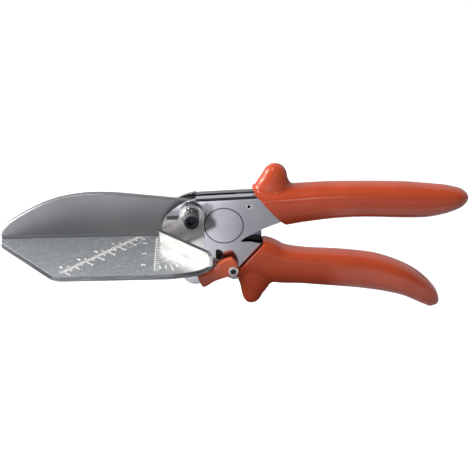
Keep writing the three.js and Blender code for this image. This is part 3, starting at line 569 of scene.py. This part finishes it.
tree = new_finish("aluminium", 0.5)
cloud = noise(tree, 70, detail=4.0)
speckle = noise(tree, 900, detail=3.0)
fine = noise(tree, 2600, detail=2.0)
sawn = ranged(tree, noise(tree, 1600, (30, 30, 1), detail=2.0), 0.35, 0.65, 0, 1)
clouds = ranged(tree, cloud, 0.3, 0.7, 0, 1)
base = blended(tree, clouds, (0.34, 0.356, 0.368), (0.42, 0.436, 0.448))
specks = ranged(tree, speckle, 0.42, 0.66, 0, 1)
spots = blended(tree, specks, (0.25, 0.266, 0.278), (0.55, 0.566, 0.578))
colour = blended(tree, ranged(tree, cloud, 0.3, 0.7, 0.35, 0.6), base, spots)
bump = uneven(tree, speckle, 0.003)
for degrees, scale, crest in SCRATCHES:
    lines = noise(tree, scale, (26, 1, 1), math.radians(degrees), detail=2.0)
    scratch = ranged(tree, lines, crest, crest + 0.06, 0, 0.8)
    colour = blended(tree, scratch, colour, (0.7, 0.71, 0.72))
    bump = uneven(tree, scratch, 0.003, bump)
# The side's tone: saw marks, on a colour painted darker as shade.
side_shade_with_saw_marks = blended(tree, sawn, (0.09, 0.094, 0.098), (0.25, 0.258, 0.264))
upward = coordinate(tree, "Normal", "Z")
# The upper rim is painted bright as a highlight, above the painted shade of the side.
edge = blended(tree, ranged(tree, upward, 0.2, 0.35, 0, 1), side_shade_with_saw_marks, (0.82, 0.83, 0.83))
colour = blended(tree, ranged(tree, upward, 0.9, 0.98, 0, 1), edge, colour)
painted(tree, colour, ranged(tree, fine, 0.3, 0.7, 0.24, 0.36))
print("table nodes:", len(tree.nodes))

# %% [markdown]
# ## Stamped ring
# The front plate carries a stamped ring, whose groove is painted dark as the shade in it, so it shows as a
# dark line. The plated finish is copied, and the distance from the ring's centre picks the groove out.

# %% Plate with the stamped ring
RING_AT, RING_RADIUS_MM, RING_WIDTH_MM = at(22.3, 0, -9.3), 13.5, 0.5

tree = copied("plated_steel_flanged", "plated_steel_with_ring")
colour = shader_inputs(tree)["Base Color"]
off_line = math_node(tree, "SUBTRACT", from_axis(tree, RING_AT), RING_RADIUS_MM * MM)
off_line = math_node(tree, "ABSOLUTE", off_line)
# The groove is painted dark as shade.
groove_shade = ranged(tree, off_line, RING_WIDTH_MM * MM / 2, RING_WIDTH_MM * MM, 1, 0)
tree.links.new(blended(tree, groove_shade, colour.links[0].from_socket, (0.06, 0.06, 0.07)), colour)
print("ring radius, mm:", RING_RADIUS_MM)

# %% [markdown]
# ## Dipped red
# The grips and the latch are steel dipped in soft plastic, which leaves a thick glossy skin. The colour is
# nearly even, darker where the skin ran thick. Its gloss is broken by a slight waviness of a few
# millimetres. The small latch gets a paler copy of the same red: painted light on it.

# %% Dipped red
def dipped_red(name, deep, light):
    tree = new_finish(name, 0.0)
    flow = ranged(tree, noise(tree, 45, detail=2.0), 0.3, 0.7, 0, 1)
    waves = noise(tree, 160, detail=1.0)
    pores = noise(tree, 2600, detail=1.0)
    painted(tree, blended(tree, flow, deep, light), ranged(tree, pores, 0.3, 0.7, 0.12, 0.2))
    uneven(tree, pores, 0.002, uneven(tree, waves, 0.03))
    shader_inputs(tree)["IOR"].default_value = 1.5


dipped_red("red_dip", (0.46, 0.064, 0.024), (0.53, 0.078, 0.03))
# A paler copy of the same red for the latch, as painted light.
dipped_red("red_dip_painted_light", (0.7, 0.12, 0.048), (0.8, 0.15, 0.062))
print("finishes now:", len(finishes))

# %% [markdown]
# ## Steel pieces with rounded rims
# A frame piece comes as loose flat triangles with knife-sharp rims, and real steel has none: stamping,
# tumbling and plating leave a rim of a few tenths of a millimetre that catches the light. A copy of each
# visible piece has its doubles merged and its flat triangles joined to whole faces. A bevel then rounds
# every edge that turns by more than thirty degrees. It stops where two rims would overlap, so a piece with
# very short edges in its outline gets finer rims than it asks for. The stamped ring asks for a fifth of its
# plate's rims.

# %% Rims
RIM_ANGLE = math.radians(30)
FLAT_ANGLE = math.radians(0.4)
WELD_MM = 0.0005
FINE_RIM_SHARE = 0.2


def settled(piece):
    evaluated = piece.evaluated_get(bpy.context.evaluated_depsgraph_get())
    mesh = bpy.data.meshes.new_from_object(evaluated)
    old = piece.data
    piece.modifiers.clear()
    piece.data = mesh
    bpy.data.meshes.remove(old)
    return piece


def piece_from(mesh, name):
    piece = bpy.data.objects.new(name, mesh)
    bpy.context.collection.objects.link(piece)
    return piece


def clean_copy(node):
    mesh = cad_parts[node].data.copy()
    work = bmesh.new()
    work.from_mesh(mesh)
    bmesh.ops.remove_doubles(work, verts=work.verts, dist=WELD_MM * MM)
    bmesh.ops.dissolve_limit(work, angle_limit=FLAT_ANGLE, verts=work.verts, edges=work.edges)
    for face in work.faces:
        face.smooth = True
    work.to_mesh(mesh)
    work.free()
    return mesh


def weigh_rims(mesh):
    work = bmesh.new()
    work.from_mesh(mesh)
    weight = work.edges.layers.float.new("bevel_weight_edge")
    for edge in work.edges:
        aside = (edge.verts[0].co + edge.verts[1].co) / 2 - RING_AT
        off_ring = abs(math.hypot(aside.x, aside.z) - RING_RADIUS_MM * MM)
        if edge.calc_face_angle(0) > RIM_ANGLE:
            edge[weight] = FINE_RIM_SHARE if off_ring < RING_WIDTH_MM * MM else 1
    work.to_mesh(mesh)
    work.free()


def dressed(piece, finish):
    piece.data.materials.clear()
    piece.data.materials.append(finishes[finish])
    return piece


def with_rims(node, body, slot, rim_mm):
    piece = piece_from(clean_copy(node), node + "_finished")
    weigh_rims(piece.data)
    bevel = piece.modifiers.new("rims", "BEVEL")
    bevel.width = rim_mm * MM
    bevel.segments = 2
    bevel.limit_method = "WEIGHT"
    flat = piece.modifiers.new("flat_faces", "WEIGHTED_NORMAL")
    flat.weight = 100
    dressed(settled(piece), slot)
    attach(piece, body)
    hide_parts(node)
    return piece


# %% Steel pieces
rims = [
    ("upper_plate_front", "upper_lever", "plated_steel_with_ring", 0.45),
    ("upper_plate_back", "upper_lever", "plated_steel_rear_painted_light_and_shade", 0.45),
    ("lower_plate_front", "lower_lever", "plated_steel_flat", 0.4),
    ("lower_plate_back", "lower_lever", "plated_steel_flat", 0.4),
    ("fence", "upper_lever", "plated_steel_fence", 0.45),
    ("fence_pin", "upper_lever", "bright_steel", 0.2),
    ("table", "upper_lever", "aluminium", 0.5),
    ("blade", "lower_lever", "blade_steel", 0.1),
    ("pivot_bolt", "upper_lever", "black_steel_worn", 0.35),
    ("pivot_bush", "upper_lever", "grey_steel_ridged", 0.2),
    ("pivot_ring", "upper_lever", "bright_steel", 0.2),
    ("pivot_washer_back", "upper_lever", "bright_steel", 0.2),
    ("pivot_nut", "upper_lever", "grey_steel", 0.3),
    ("blade_screw", "lower_lever", "black_steel", 0.1),
    ("latch_screw", "lower_lever", "bright_steel_shaded_socket", 0.1),
    ("roll_pin", "upper_lever", "bright_steel_shaded_bore", 0.08),
    ("spring_block", "upper_lever", "grey_steel", 0.3),
    ("spring_seat", "lower_lever", "grey_steel", 0.3),
]
for node, body, slot, rim_mm in rims:
    piece = with_rims(node, body, slot, rim_mm)
    print(piece.name, "faces:", len(piece.data.polygons))

# %% [markdown]
# ## Pieces that stay hidden
# Rivets, fillers, the pivot's sleeve and the latch's spacer sit inside the tool and show only at a gap, so
# the frame's own meshes are good enough. They keep their shape and get the same finishes.

# %% Hidden pieces
hidden = {
    "plated_steel": ["table_rivet_1", "table_rivet_2"],
    "grey_steel": [
        "pivot_sleeve", "upper_filler", "upper_rivet", "lower_filler", "lower_rivet", "latch_spacer",
    ],
}
for finish, nodes in hidden.items():
    for node in nodes:
        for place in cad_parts[node].material_slots:
            place.material = finishes[finish]
    print(finish, "on", len(nodes), "hidden pieces")

# %% [markdown]
# ## Return spring
# The spring is a wire wound round an axis at an even pitch, which is a rule and not a shape to be drawn.
# Geometry Nodes has a curve for it: a spiral with equal radii, swept by a round section. The tree's inputs
# are the sizes that a spring maker would ask for.

# %% Tree helper
def new_tree(name, sizes):
    tree = bpy.data.node_groups.new(name, "GeometryNodeTree")
    tree.interface.new_socket("Geometry", in_out="OUTPUT", socket_type="NodeSocketGeometry")
    for label, value in sizes.items():
        kind = "NodeSocketInt" if isinstance(value, int) else "NodeSocketFloat"
        tree.interface.new_socket(label, in_out="INPUT", socket_type=kind)
    return tree, tree.nodes.new("NodeGroupInput"), tree.nodes.new("NodeGroupOutput")


def grown(tree, sizes, name):
    piece = piece_from(bpy.data.meshes.new(name), name)
    modifier = piece.modifiers.new("grow", "NODES")
    modifier.node_group = tree
    for socket in tree.interface.items_tree:
        if socket.in_out == "INPUT":
            modifier[socket.identifier] = sizes[socket.name]
    return settled(piece)


def placed(piece, matrix):
    piece.data.transform(matrix)
    return piece


def ending(tree, geometry, material, outgoing):
    real = tree.nodes.new("GeometryNodeRealizeInstances")
    paint = tree.nodes.new("GeometryNodeSetMaterial")
    paint.inputs["Material"].default_value = material
    tree.links.new(geometry, real.inputs[0])
    tree.links.new(real.outputs[0], paint.inputs["Geometry"])
    tree.links.new(paint.outputs[0], outgoing.inputs["Geometry"])


# %% Spring
WIRE_RADIUS_MM = 0.7
COIL_RADIUS_MM = 3.3
COIL_TOP_MM, COIL_BOTTOM_MM = -1.4, -12.4
coil_sizes = {
    "Turns": 5.0,
    "Coil radius": COIL_RADIUS_MM * MM,
    "Height": (COIL_TOP_MM - COIL_BOTTOM_MM) * MM,
    "Wire radius": WIRE_RADIUS_MM * MM,
    "Steps": 280,
    "Wire sides": 16,
}
coil_tree, coil_in, coil_out = new_tree("wound_wire", coil_sizes)
path = coil_tree.nodes.new("GeometryNodeCurveSpiral")
section = coil_tree.nodes.new("GeometryNodeCurvePrimitiveCircle")
sweep = coil_tree.nodes.new("GeometryNodeCurveToMesh")
for label, entry in (
    ("Turns", path.inputs["Rotations"]),
    ("Coil radius", path.inputs["Start Radius"]),
    ("Coil radius", path.inputs["End Radius"]),
    ("Height", path.inputs["Height"]),
    ("Steps", path.inputs["Resolution"]),
    ("Wire sides", section.inputs["Resolution"]),
    ("Wire radius", section.inputs["Radius"]),
):
    coil_tree.links.new(coil_in.outputs[label], entry)
coil_tree.links.new(path.outputs[0], sweep.inputs["Curve"])
coil_tree.links.new(section.outputs[0], sweep.inputs["Profile Curve"])
sweep.inputs["Fill Caps"].default_value = True
ending(coil_tree, sweep.outputs[0], finishes["spring_steel"], coil_out)
spring = grown(coil_tree, coil_sizes, "return_spring_wound")
placed(spring, Matrix.Translation(at(38, 0, COIL_BOTTOM_MM)))
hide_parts("return_spring")
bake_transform(spring)
print("spring faces:", len(spring.data.polygons))

# %% [markdown]
# ## Scales on the table
# The table is engraved with two ruled scales and a row of angle marks, all filled with white. A scale is
# the plainest case for Geometry Nodes: one tick, placed on a line of points at an even pitch. A tick's
# length comes from its own number, so that those at regular steps can be longer. Each tick is a closed
# block a few hundredths of a millimetre high, sunk into the table by most of its depth.

# %% White fill
tree = new_finish("white_fill", 0.0)
worn = noise(tree, 700, detail=3.0)
lost = ranged(tree, worn, 0.52, 0.68, 0, 1)
fill = blended(tree, lost, (0.92, 0.91, 0.88), (0.55, 0.56, 0.57))
painted(tree, fill, ranged(tree, worn, 0.3, 0.7, 0.45, 0.65))
print("white fill nodes:", len(tree.nodes))

# %% Ruled scale
MARK_DEPTH_MM = 0.06
MARK_PROUD_MM = 0.015


def when_multiple(tree, number, of, yes, no):
    left_over = math_node(tree, "MODULO", number, of)
    is_zero = math_node(tree, "LESS_THAN", left_over, 0.5)
    pick = tree.nodes.new("GeometryNodeSwitch")
    pick.input_type = "FLOAT"
    tree.links.new(is_zero, pick.inputs["Switch"])
    tree.links.new(yes, pick.inputs["True"])
    tree.links.new(no, pick.inputs["False"])
    return pick.outputs[0]


def scale_sizes(count, pitch, lengths, every, width):
    return {
        "Count": count, "Pitch": pitch * MM, "Short": lengths[0] * MM, "Medium": lengths[1] * MM,
        "Long": lengths[2] * MM, "Medium every": every[0], "Long every": every[1],
        "Width": width * MM, "Depth": MARK_DEPTH_MM * MM,
    }


def ruled_scale():
    tree, incoming, outgoing = new_tree("ruled_scale", scale_sizes(1, 1, (1, 1, 1), (1, 1), 1))
    given = incoming.outputs
    row = tree.nodes.new("GeometryNodeMeshLine")
    step = tree.nodes.new("ShaderNodeCombineXYZ")
    tick = tree.nodes.new("GeometryNodeMeshCube")
    tick_aside = tree.nodes.new("GeometryNodeTransform")
    number = tree.nodes.new("GeometryNodeInputIndex")
    size = tree.nodes.new("ShaderNodeCombineXYZ")
    spread = tree.nodes.new("GeometryNodeInstanceOnPoints")
    tree.links.new(given["Count"], row.inputs["Count"])
    tree.links.new(given["Pitch"], step.inputs["X"])
    tree.links.new(step.outputs[0], row.inputs["Offset"])
    tick_aside.inputs["Translation"].default_value = (0, -0.5, 0)
    tree.links.new(tick.outputs["Mesh"], tick_aside.inputs["Geometry"])
    medium = when_multiple(tree, number.outputs[0], given["Medium every"], given["Medium"], given["Short"])
    length = when_multiple(tree, number.outputs[0], given["Long every"], given["Long"], medium)
    tree.links.new(given["Width"], size.inputs["X"])
    tree.links.new(length, size.inputs["Y"])
    tree.links.new(given["Depth"], size.inputs["Z"])
    tree.links.new(row.outputs[0], spread.inputs["Points"])
    tree.links.new(tick_aside.outputs[0], spread.inputs["Instance"])
    tree.links.new(size.outputs[0], spread.inputs["Scale"])
    ending(tree, spread.outputs[0], finishes["white_fill"], outgoing)
    return tree


scale_tree = ruled_scale()
print("scale sizes:", [item.name for item in scale_tree.interface.items_tree if item.in_out == "INPUT"])


def scale_marks(name, *sizes):
    return grown(scale_tree, scale_sizes(*sizes), name)


# %% [markdown]
# ## Placing the scales
# The long scale runs at 45 degrees and stops at the blade, and a second one runs straight across, in front
# of the fence. One side of the long scale has millimetre ticks, with longer ones at every fifth and tenth,
# and the other side has wider steps. The angle marks radiate from the straight scale's end at the blade.

# %% Place the scales
TABLE_TOP_MM = -20
MARK_Z_MM = TABLE_TOP_MM + MARK_PROUD_MM - MARK_DEPTH_MM / 2
LONG_SCALE_END = (-37.7, -0.7)
STRAIGHT_SCALE_END = (-25.3, -2.8)
ANGLE_MARKS_OUT_MM = 42


def on_table(x, y, degrees):
    return Matrix.Translation(at(x, y, MARK_Z_MM)) @ Matrix.Rotation(math.radians(degrees), 4, "Z")


mirror = Matrix.Scale(-1, 4, (0, 1, 0))
mitre = on_table(*LONG_SCALE_END, -135)
straight = on_table(*STRAIGHT_SCALE_END, -90)

# name, count, pitch, three lengths, steps at which ticks are longer, width, place
ruled = [
    ("millimetres", 73, 1, (1.8, 1.8, 1.8), (5, 10), 0.4, mitre @ mirror),
    ("fives", 15, 5, (3.6, 3.6, 6.0), (1, 2), 0.8, mitre @ mirror),
    ("fine_steps", 46, 1.58, (1.6, 1.6, 1.6), (5, 10), 0.5, mitre),
    ("wide_steps", 10, 7.9, (2.2, 2.2, 3.6), (1, 2), 0.8, mitre),
    ("long_line", 1, 1, (73, 73, 73), (1, 1), 0.5, on_table(*LONG_SCALE_END, -45)),
    ("straight_steps", 17, 3, (3.6, 3.6, 4.8), (1, 5), 0.6, straight @ mirror),
    ("straight_line", 1, 1, (49, 49, 49), (1, 1), 0.5, on_table(*STRAIGHT_SCALE_END, 0)),
]
marks = [placed(scale_marks(*sizes), place) for *sizes, place in ruled]
outward = Matrix.Translation((0, -ANGLE_MARKS_OUT_MM * MM, 0))
for degrees in range(5, 31, 5):
    length = 9 if degrees == 15 else 5
    mark = scale_marks("angle_mark_%d" % degrees, 1, 1, (length,) * 3, (1, 1), 0.8)
    marks.append(placed(mark, on_table(*STRAIGHT_SCALE_END, degrees) @ outward))
print("ruled marks:", len(marks))

# %% [markdown]
# ## Numbers
# Plain numbers stand beside the scales. A text object gives the figures their shape. It becomes a mesh
# first and is turned and moved afterwards, because a finished piece keeps its place in its mesh.

# %% Numbers
FIGURE_MM, THICKENED_MM = 4.0, 0.16


def figure(text, x, y, degrees):
    curve = bpy.data.curves.new("figure_" + text, "FONT")
    curve.body = text
    curve.size = FIGURE_MM * MM
    curve.extrude = MARK_DEPTH_MM * MM / 2
    curve.offset = THICKENED_MM * MM
    curve.align_x = curve.align_y = "CENTER"
    shape = bpy.data.objects.new(curve.name, curve)
    bpy.context.collection.objects.link(shape)
    evaluated = shape.evaluated_get(bpy.context.evaluated_depsgraph_get())
    mesh = bpy.data.meshes.new_from_object(evaluated)
    bpy.data.objects.remove(shape)
    return placed(piece_from(mesh, "figure_" + text), on_table(x, y, degrees))


def along_long_scale(distance, aside):
    x, y = LONG_SCALE_END
    half = math.sqrt(0.5)
    return x - (distance - aside) * half, y - (distance + aside) * half


for number in range(1, 8):
    marks.append(figure(str(number), *along_long_scale(10 * number, 6.8), 45))
for number in range(1, 5):
    marks.append(figure(str(number), *along_long_scale(15.8 * number + 4, -5.2), 45))
for number in range(1, 4):
    x, y = STRAIGHT_SCALE_END
    marks.append(figure(str(number), x - 7.6, y - 16 * number + 8, 90))
print("marks with numbers:", len(marks))

# %% Join the marks
marked = bmesh.new()
for mark in marks:
    marked.from_mesh(mark.data)
    bpy.data.objects.remove(mark)
bmesh.ops.remove_doubles(marked, verts=marked.verts, dist=WELD_MM * MM)
bmesh.ops.recalc_face_normals(marked, faces=marked.faces)
open_edges = sum(not edge.is_manifold for edge in marked.edges)
mark_mesh = bpy.data.meshes.new("table_scales")
marked.to_mesh(mark_mesh)
marked.free()
scales = dressed(piece_from(mark_mesh, "table_scales"), "white_fill")
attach(scales, "upper_lever")
print("marks:", len(marks), "faces:", len(mark_mesh.polygons), "open edges:", open_edges)

# %% [markdown]
# ## Grips as lofts
# A grip is a row of rounded rings along a curved middle line. The line and the rings' half sizes are given
# at a few stations, as shares of the grip's length and height. A centripetal Catmull-Rom curve passes
# through all of them without the overshoots that an even one would make near close stations. A lower
# roundness makes a ring boxier, and lift raises its widest line above its middle.

# %% Curve and loft helpers
ROUNDNESS = 0.86
END_CROWDING = 1.25


def curve_through(stations, shares):
    stations = np.asarray(stations, float)
    ends = 2 * stations[0] - stations[1], 2 * stations[-1] - stations[-2]
    padded = np.vstack([ends[0], stations, ends[1]])
    place = np.clip(shares, 0, 1) * (len(stations) - 1)
    start = np.minimum(place.astype(int), len(stations) - 2)
    t = (place - start)[:, None]
    a, b, c, d = (padded[start + k] for k in range(4))
    ab, bc, cd = (np.sum((q - p) ** 2, 1, keepdims=True) ** 0.25 for p, q in ((a, b), (b, c), (c, d)))
    bc = np.where(bc < 1e-4, 1, bc)
    ab = np.where(ab < 1e-4, bc, ab)
    cd = np.where(cd < 1e-4, bc, cd)
    leave = ((b - a) / ab - (c - a) / (ab + bc) + (c - b) / bc) * bc
    arrive = ((c - b) / bc - (d - b) / (bc + cd) + (d - c) / cd) * bc
    square = 3 * (c - b) - 2 * leave - arrive
    cube = 2 * (b - c) + leave + arrive
    return b + leave * t + square * t**2 + cube * t**3


def loft(stations, sizes, rings=180, sides=72, roundness=ROUNDNESS, lift=0.0):
    shares = 1 - (1 - np.linspace(0, 1, rings + 1)) ** END_CROWDING
    middle = curve_through(stations, shares)
    along = curve_through(stations, shares + 1e-4) - curve_through(stations, shares - 1e-4)
    along /= np.linalg.norm(along, axis=1, keepdims=True)
    half = curve_through(sizes, shares)
    turn = 2 * np.pi * np.arange(sides) / sides
    rise = np.sign(np.cos(turn)) * np.abs(np.cos(turn)) ** roundness
    out = np.sign(np.sin(turn)) * np.abs(np.sin(turn)) ** roundness
    height = half[:, :1] * (rise + lift * (1 - rise**2))
    x = middle[:, :1] - along[:, 1:] * height
    z = middle[:, 1:] + along[:, :1] * height
    y = half[:, 1:] * out
    points = [at(*p) for p in np.stack([x, y, z], 2).reshape(-1, 3)]
    faces = []
    for ring in range(0, rings * sides, sides):
        for k in range(sides):
            n = (k + 1) % sides
            faces.append((ring + k, ring + n, ring + sides + n, ring + sides + k))
    faces.append(tuple(reversed(range(sides))))
    faces.append(tuple(rings * sides + k for k in range(sides)))
    return points, faces


# %% [markdown]
# ## From lofts to one skin
# A guard rises from each grip, and dipping fills the corner between them with a soft fillet. Two lofts are
# joined by a voxel remesh, which keeps only the outer skin. Then comes a closing, a standard step of image
# work: the skin grows by the fillet's radius, is remeshed, and shrinks by as much. Outer shapes come back
# unchanged, and every inner corner narrower than the radius stays filled. Relaxing moves each point towards
# its neighbours' middle and then a little further back, so nothing shrinks.

# %% Skin helpers
VOXEL_MM = 0.6
INWARD_SHARE, OUTWARD_SHARE = 0.5, -0.53


def body_of(*shells, name):
    points, faces = [], []
    for more_points, more_faces in shells:
        shift = len(points)
        points += more_points
        faces += [tuple(shift + i for i in face) for face in more_faces]
    mesh = bpy.data.meshes.new(name)
    mesh.from_pydata(points, [], faces)
    work = bmesh.new()
    work.from_mesh(mesh)
    bmesh.ops.recalc_face_normals(work, faces=work.faces)
    work.to_mesh(mesh)
    work.free()
    return piece_from(mesh, name)


def remeshed(piece, voxel_mm=VOXEL_MM):
    skin = piece.modifiers.new("skin", "REMESH")
    skin.mode = "VOXEL"
    skin.voxel_size = voxel_mm * MM
    skin.use_smooth_shade = True
    return settled(piece)


def triples(items, field):
    flat = np.empty(len(items) * 3)
    items.foreach_get(field, flat)
    return flat.reshape(-1, 3)


def moved(piece, place):
    piece.data.vertices.foreach_set("co", place.ravel())
    piece.data.update()
    return piece


def relaxed(piece, rounds):
    place = triples(piece.data.vertices, "co")
    edges = np.array([edge.vertices[:] for edge in piece.data.edges])
    owner, neighbour = np.vstack([edges, edges[:, ::-1]]).T
    count = np.bincount(owner, minlength=len(place))[:, None]
    for _ in range(rounds):
        for push in (INWARD_SHARE, OUTWARD_SHARE):
            total = [np.bincount(owner, place[neighbour, k], len(place)) for k in range(3)]
            place = place + push * (np.stack(total, 1) / count - place)
    return moved(piece, place)


def grown_by(piece, distance_mm):
    normals = triples(piece.data.vertex_normals, "vector")
    return moved(piece, triples(piece.data.vertices, "co") + normals * distance_mm * MM)


def closed_corners(piece, radius_mm):
    relaxed(remeshed(piece), 6)
    relaxed(remeshed(grown_by(piece, radius_mm)), 10)
    return relaxed(remeshed(grown_by(piece, -radius_mm)), 12)


def prism(outline, half_depth_mm, name):
    count = len(outline)
    points = [at(x, y, z) for y in (-half_depth_mm, half_depth_mm) for x, z in outline]
    faces = [tuple(range(count)), tuple(range(2 * count - 1, count - 1, -1))]
    faces += [(k, count + k, count + (k + 1) % count, (k + 1) % count) for k in range(count)]
    return body_of((points, faces), name=name)


def cut(piece, cutter):
    knife = piece.modifiers.new("cut", "BOOLEAN")
    knife.operation = "DIFFERENCE"
    knife.solver = "EXACT"
    knife.object = cutter
    settled(piece)
    bpy.data.objects.remove(cutter)
    return piece


# %% [markdown]
# ## The two grips
# Each grip is lofted, given its guard and its fillet, and cut off along a slanted line where the plates run
# in. A second remesh with a little relaxing rounds that cut, as surface tension does in a dip. The last
# cut, left sharp, is the hollow that holds the plates' tails. The lower grip gapes a little round its
# plates, so a wider and shallower cut follows there, and leaves a lip with a dark gap behind it.

# %% Grip sizes
UPPER_START, UPPER_LENGTH, UPPER_MIDDLE = 40, 153.6, 5
UPPER_HALF = (12.9, 10.4)
THUMB_AT, THUMB_HALF, THUMB_TOP = 59, 12.4, 34.2
LOWER_START, LOWER_LENGTH, LOWER_DROP = 40, 135.6, 81
LOWER_HALF = (13.3, 10.2)
FINGER_AT, FINGER_HALF, FINGER_DROP = 42, 11.6, 74.8

upper_line = [
    (0, 0.46), (0.13, 0.46), (0.24, 0.76), (0.36, 1.04), (0.52, 1.1), (0.69, 0.9), (0.81, 0.72),
    (0.9, 0.84), (0.965, 1), (0.992, 1.03), (1, 1.03),
]
upper_sizes = [
    (1.15, 1.05), (1.16, 1.05), (1.09, 1.02), (1.03, 1.0), (0.98, 1.0), (0.99, 1.0), (0.93, 0.97),
    (0.76, 0.87), (0.5, 0.66), (0.24, 0.34), (0.02, 0.02),
]
thumb_line = [(-0.12, 0.2), (-0.13, 0.5), (-0.06, 0.72), (0.01, 0.86), (0.06, 0.96), (0.08, 1)]
thumb_sizes = [(1.25, 0.78), (1.06, 0.74), (0.74, 0.66), (0.6, 0.56), (0.35, 0.36), (0.02, 0.02)]
lower_line = [
    (-0.09, 0.457), (0.015, 0.469), (0.075, 0.492), (0.15, 0.54), (0.29, 0.57), (0.47, 0.598),
    (0.63, 0.635), (0.75, 0.692), (0.838, 0.757), (0.905, 0.835), (0.95, 0.905), (0.972, 0.965),
    (0.978, 0.99),
]
lower_sizes = [
    (1.13, 0.96), (1.2, 0.96), (1.2, 0.96), (1.08, 0.98), (0.97, 1.0), (1.0, 1.0), (0.985, 1.0),
    (0.88, 1.0), (0.765, 0.95), (0.65, 0.84), (0.52, 0.68), (0.33, 0.44), (0.02, 0.02),
]
finger_line = [(0.15, 0.6), (0.09, 0.76), (-0.04, 0.87), (-0.07, 0.94), (-0.06, 0.985), (-0.05, 1)]
finger_sizes = [(1.2, 0.84), (1.0, 0.78), (0.69, 0.64), (0.53, 0.52), (0.31, 0.3), (0.02, 0.02)]
upper_mouth = [(42.4, 35.2), (42.4, 17.2), (84.4, -33.8), (-40, -32.9), (-40, 35.2)]
lower_mouth = [(58.5, -15.1), (24.3, -54.0), (-40, -57.2), (-40, -11.9)]
upper_hollow = [
    (36.87, -19.47), (49.59, -12.72), (63.6, -7.18), (70.04, -3.81), (150.3, -1.3), (150.3, 9.8),
    (56.3, 9.8), (56.3, 13.4), (3.2, 11.5),
]
lower_hollow = [
    (7.01, -24.3), (11.51, -34.29), (13.0, -42.29), (20.01, -50.3), (28.5, -54.0), (33.5, -52.8),
    (124.3, -53.8), (124.3, -43.2), (58, -32.7), (49.5, -26.17), (46, -24.51), (40.41, -23.22),
    (34.71, -23.49), (20.01, -14.74), (10.49, -4.69),
]


def sized(pairs, first, second, first_zero=0.0):
    return [(first_zero + a * first, b * second) for a, b in pairs]


# %% Make the grips
FILLET_MM = 3.0
HOLLOW_HALF_UPPER, HOLLOW_HALF_LOWER = 7.7, 4.9
FLARE_HALF = 7.0
MOUTH_HALF, GUARD_RINGS = 60, 90
CUT_VOXEL_MM, CUT_ROUNDS = 0.5, 5
lower_flare = [(48.2, -24.4), (52.2, -27.6), (38.6, -45.6), (33.4, -44.2), (30.4, -43.2), (44.0, -22.4)]


def dipped(node, body, main, guard, mouth, hollow, hollow_half, flare=None):
    piece = body_of(main, guard, name=node + "_dipped")
    closed_corners(piece, FILLET_MM)
    cut(piece, prism(mouth, MOUTH_HALF, "mouth"))
    relaxed(remeshed(piece, CUT_VOXEL_MM), CUT_ROUNDS)
    cut(piece, prism(hollow, hollow_half, "hollow"))
    if flare:
        cut(piece, prism(flare, FLARE_HALF, "flare"))
    for face in piece.data.polygons:
        face.use_smooth = True
    piece.data.set_sharp_from_angle(angle=RIM_ANGLE)
    dressed(piece, "red_dip")
    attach(piece, body)
    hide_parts(node)
    return piece


upper_line = sized(upper_line, UPPER_LENGTH, UPPER_MIDDLE, UPPER_START)
thumb_line = sized(thumb_line, THUMB_HALF, THUMB_TOP, THUMB_AT)
upper_main = loft(upper_line, sized(upper_sizes, *UPPER_HALF), lift=0.16)
thumb_guard = loft(thumb_line, sized(thumb_sizes, THUMB_HALF, UPPER_HALF[1]), GUARD_RINGS)
upper_grip = dipped(
    "upper_grip", "upper_lever", upper_main, thumb_guard, upper_mouth, upper_hollow, HOLLOW_HALF_UPPER,
)

lower_line = sized(lower_line, LOWER_LENGTH, -LOWER_DROP, LOWER_START)
finger_line = sized(finger_line, FINGER_HALF, -FINGER_DROP, FINGER_AT)
lower_main = loft(lower_line, sized(lower_sizes, *LOWER_HALF), roundness=0.78, lift=0.24)
finger_guard = loft(finger_line, sized(finger_sizes, FINGER_HALF, LOWER_HALF[1]), GUARD_RINGS)
lower_grip = dipped(
    "lower_grip", "lower_lever", lower_main, finger_guard, lower_mouth, lower_hollow, HOLLOW_HALF_LOWER,
    lower_flare,
)
for grip in (upper_grip, lower_grip):
    print(grip.name, "faces:", len(grip.data.polygons))

# %% [markdown]
# ## Latch
# The latch is a small stamped hook that was dipped with the grips, so all its rims are soft. The frame's
# hook is remeshed finely and relaxed, which rounds every rim alike and leaves the hole round.

# %% Latch
LATCH_VOXEL_MM, LATCH_ROUNDS = 0.25, 60
latch = piece_from(clean_copy("latch"), "latch_dipped")
relaxed(remeshed(latch, LATCH_VOXEL_MM), LATCH_ROUNDS)
for face in latch.data.polygons:
    face.use_smooth = True
dressed(latch, "red_dip_painted_light")
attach(latch, "latch")
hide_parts("latch")
print("latch faces:", len(latch.data.polygons))

# %% Finish the scene
visual_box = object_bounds()
for name, cad, shown in zip("xyz", (cad_box[1] - cad_box[0]) / MM, (visual_box[1] - visual_box[0]) / MM):
    print(name, "frame", round(cad, 2), "mm, shown", round(shown, 2), "mm")
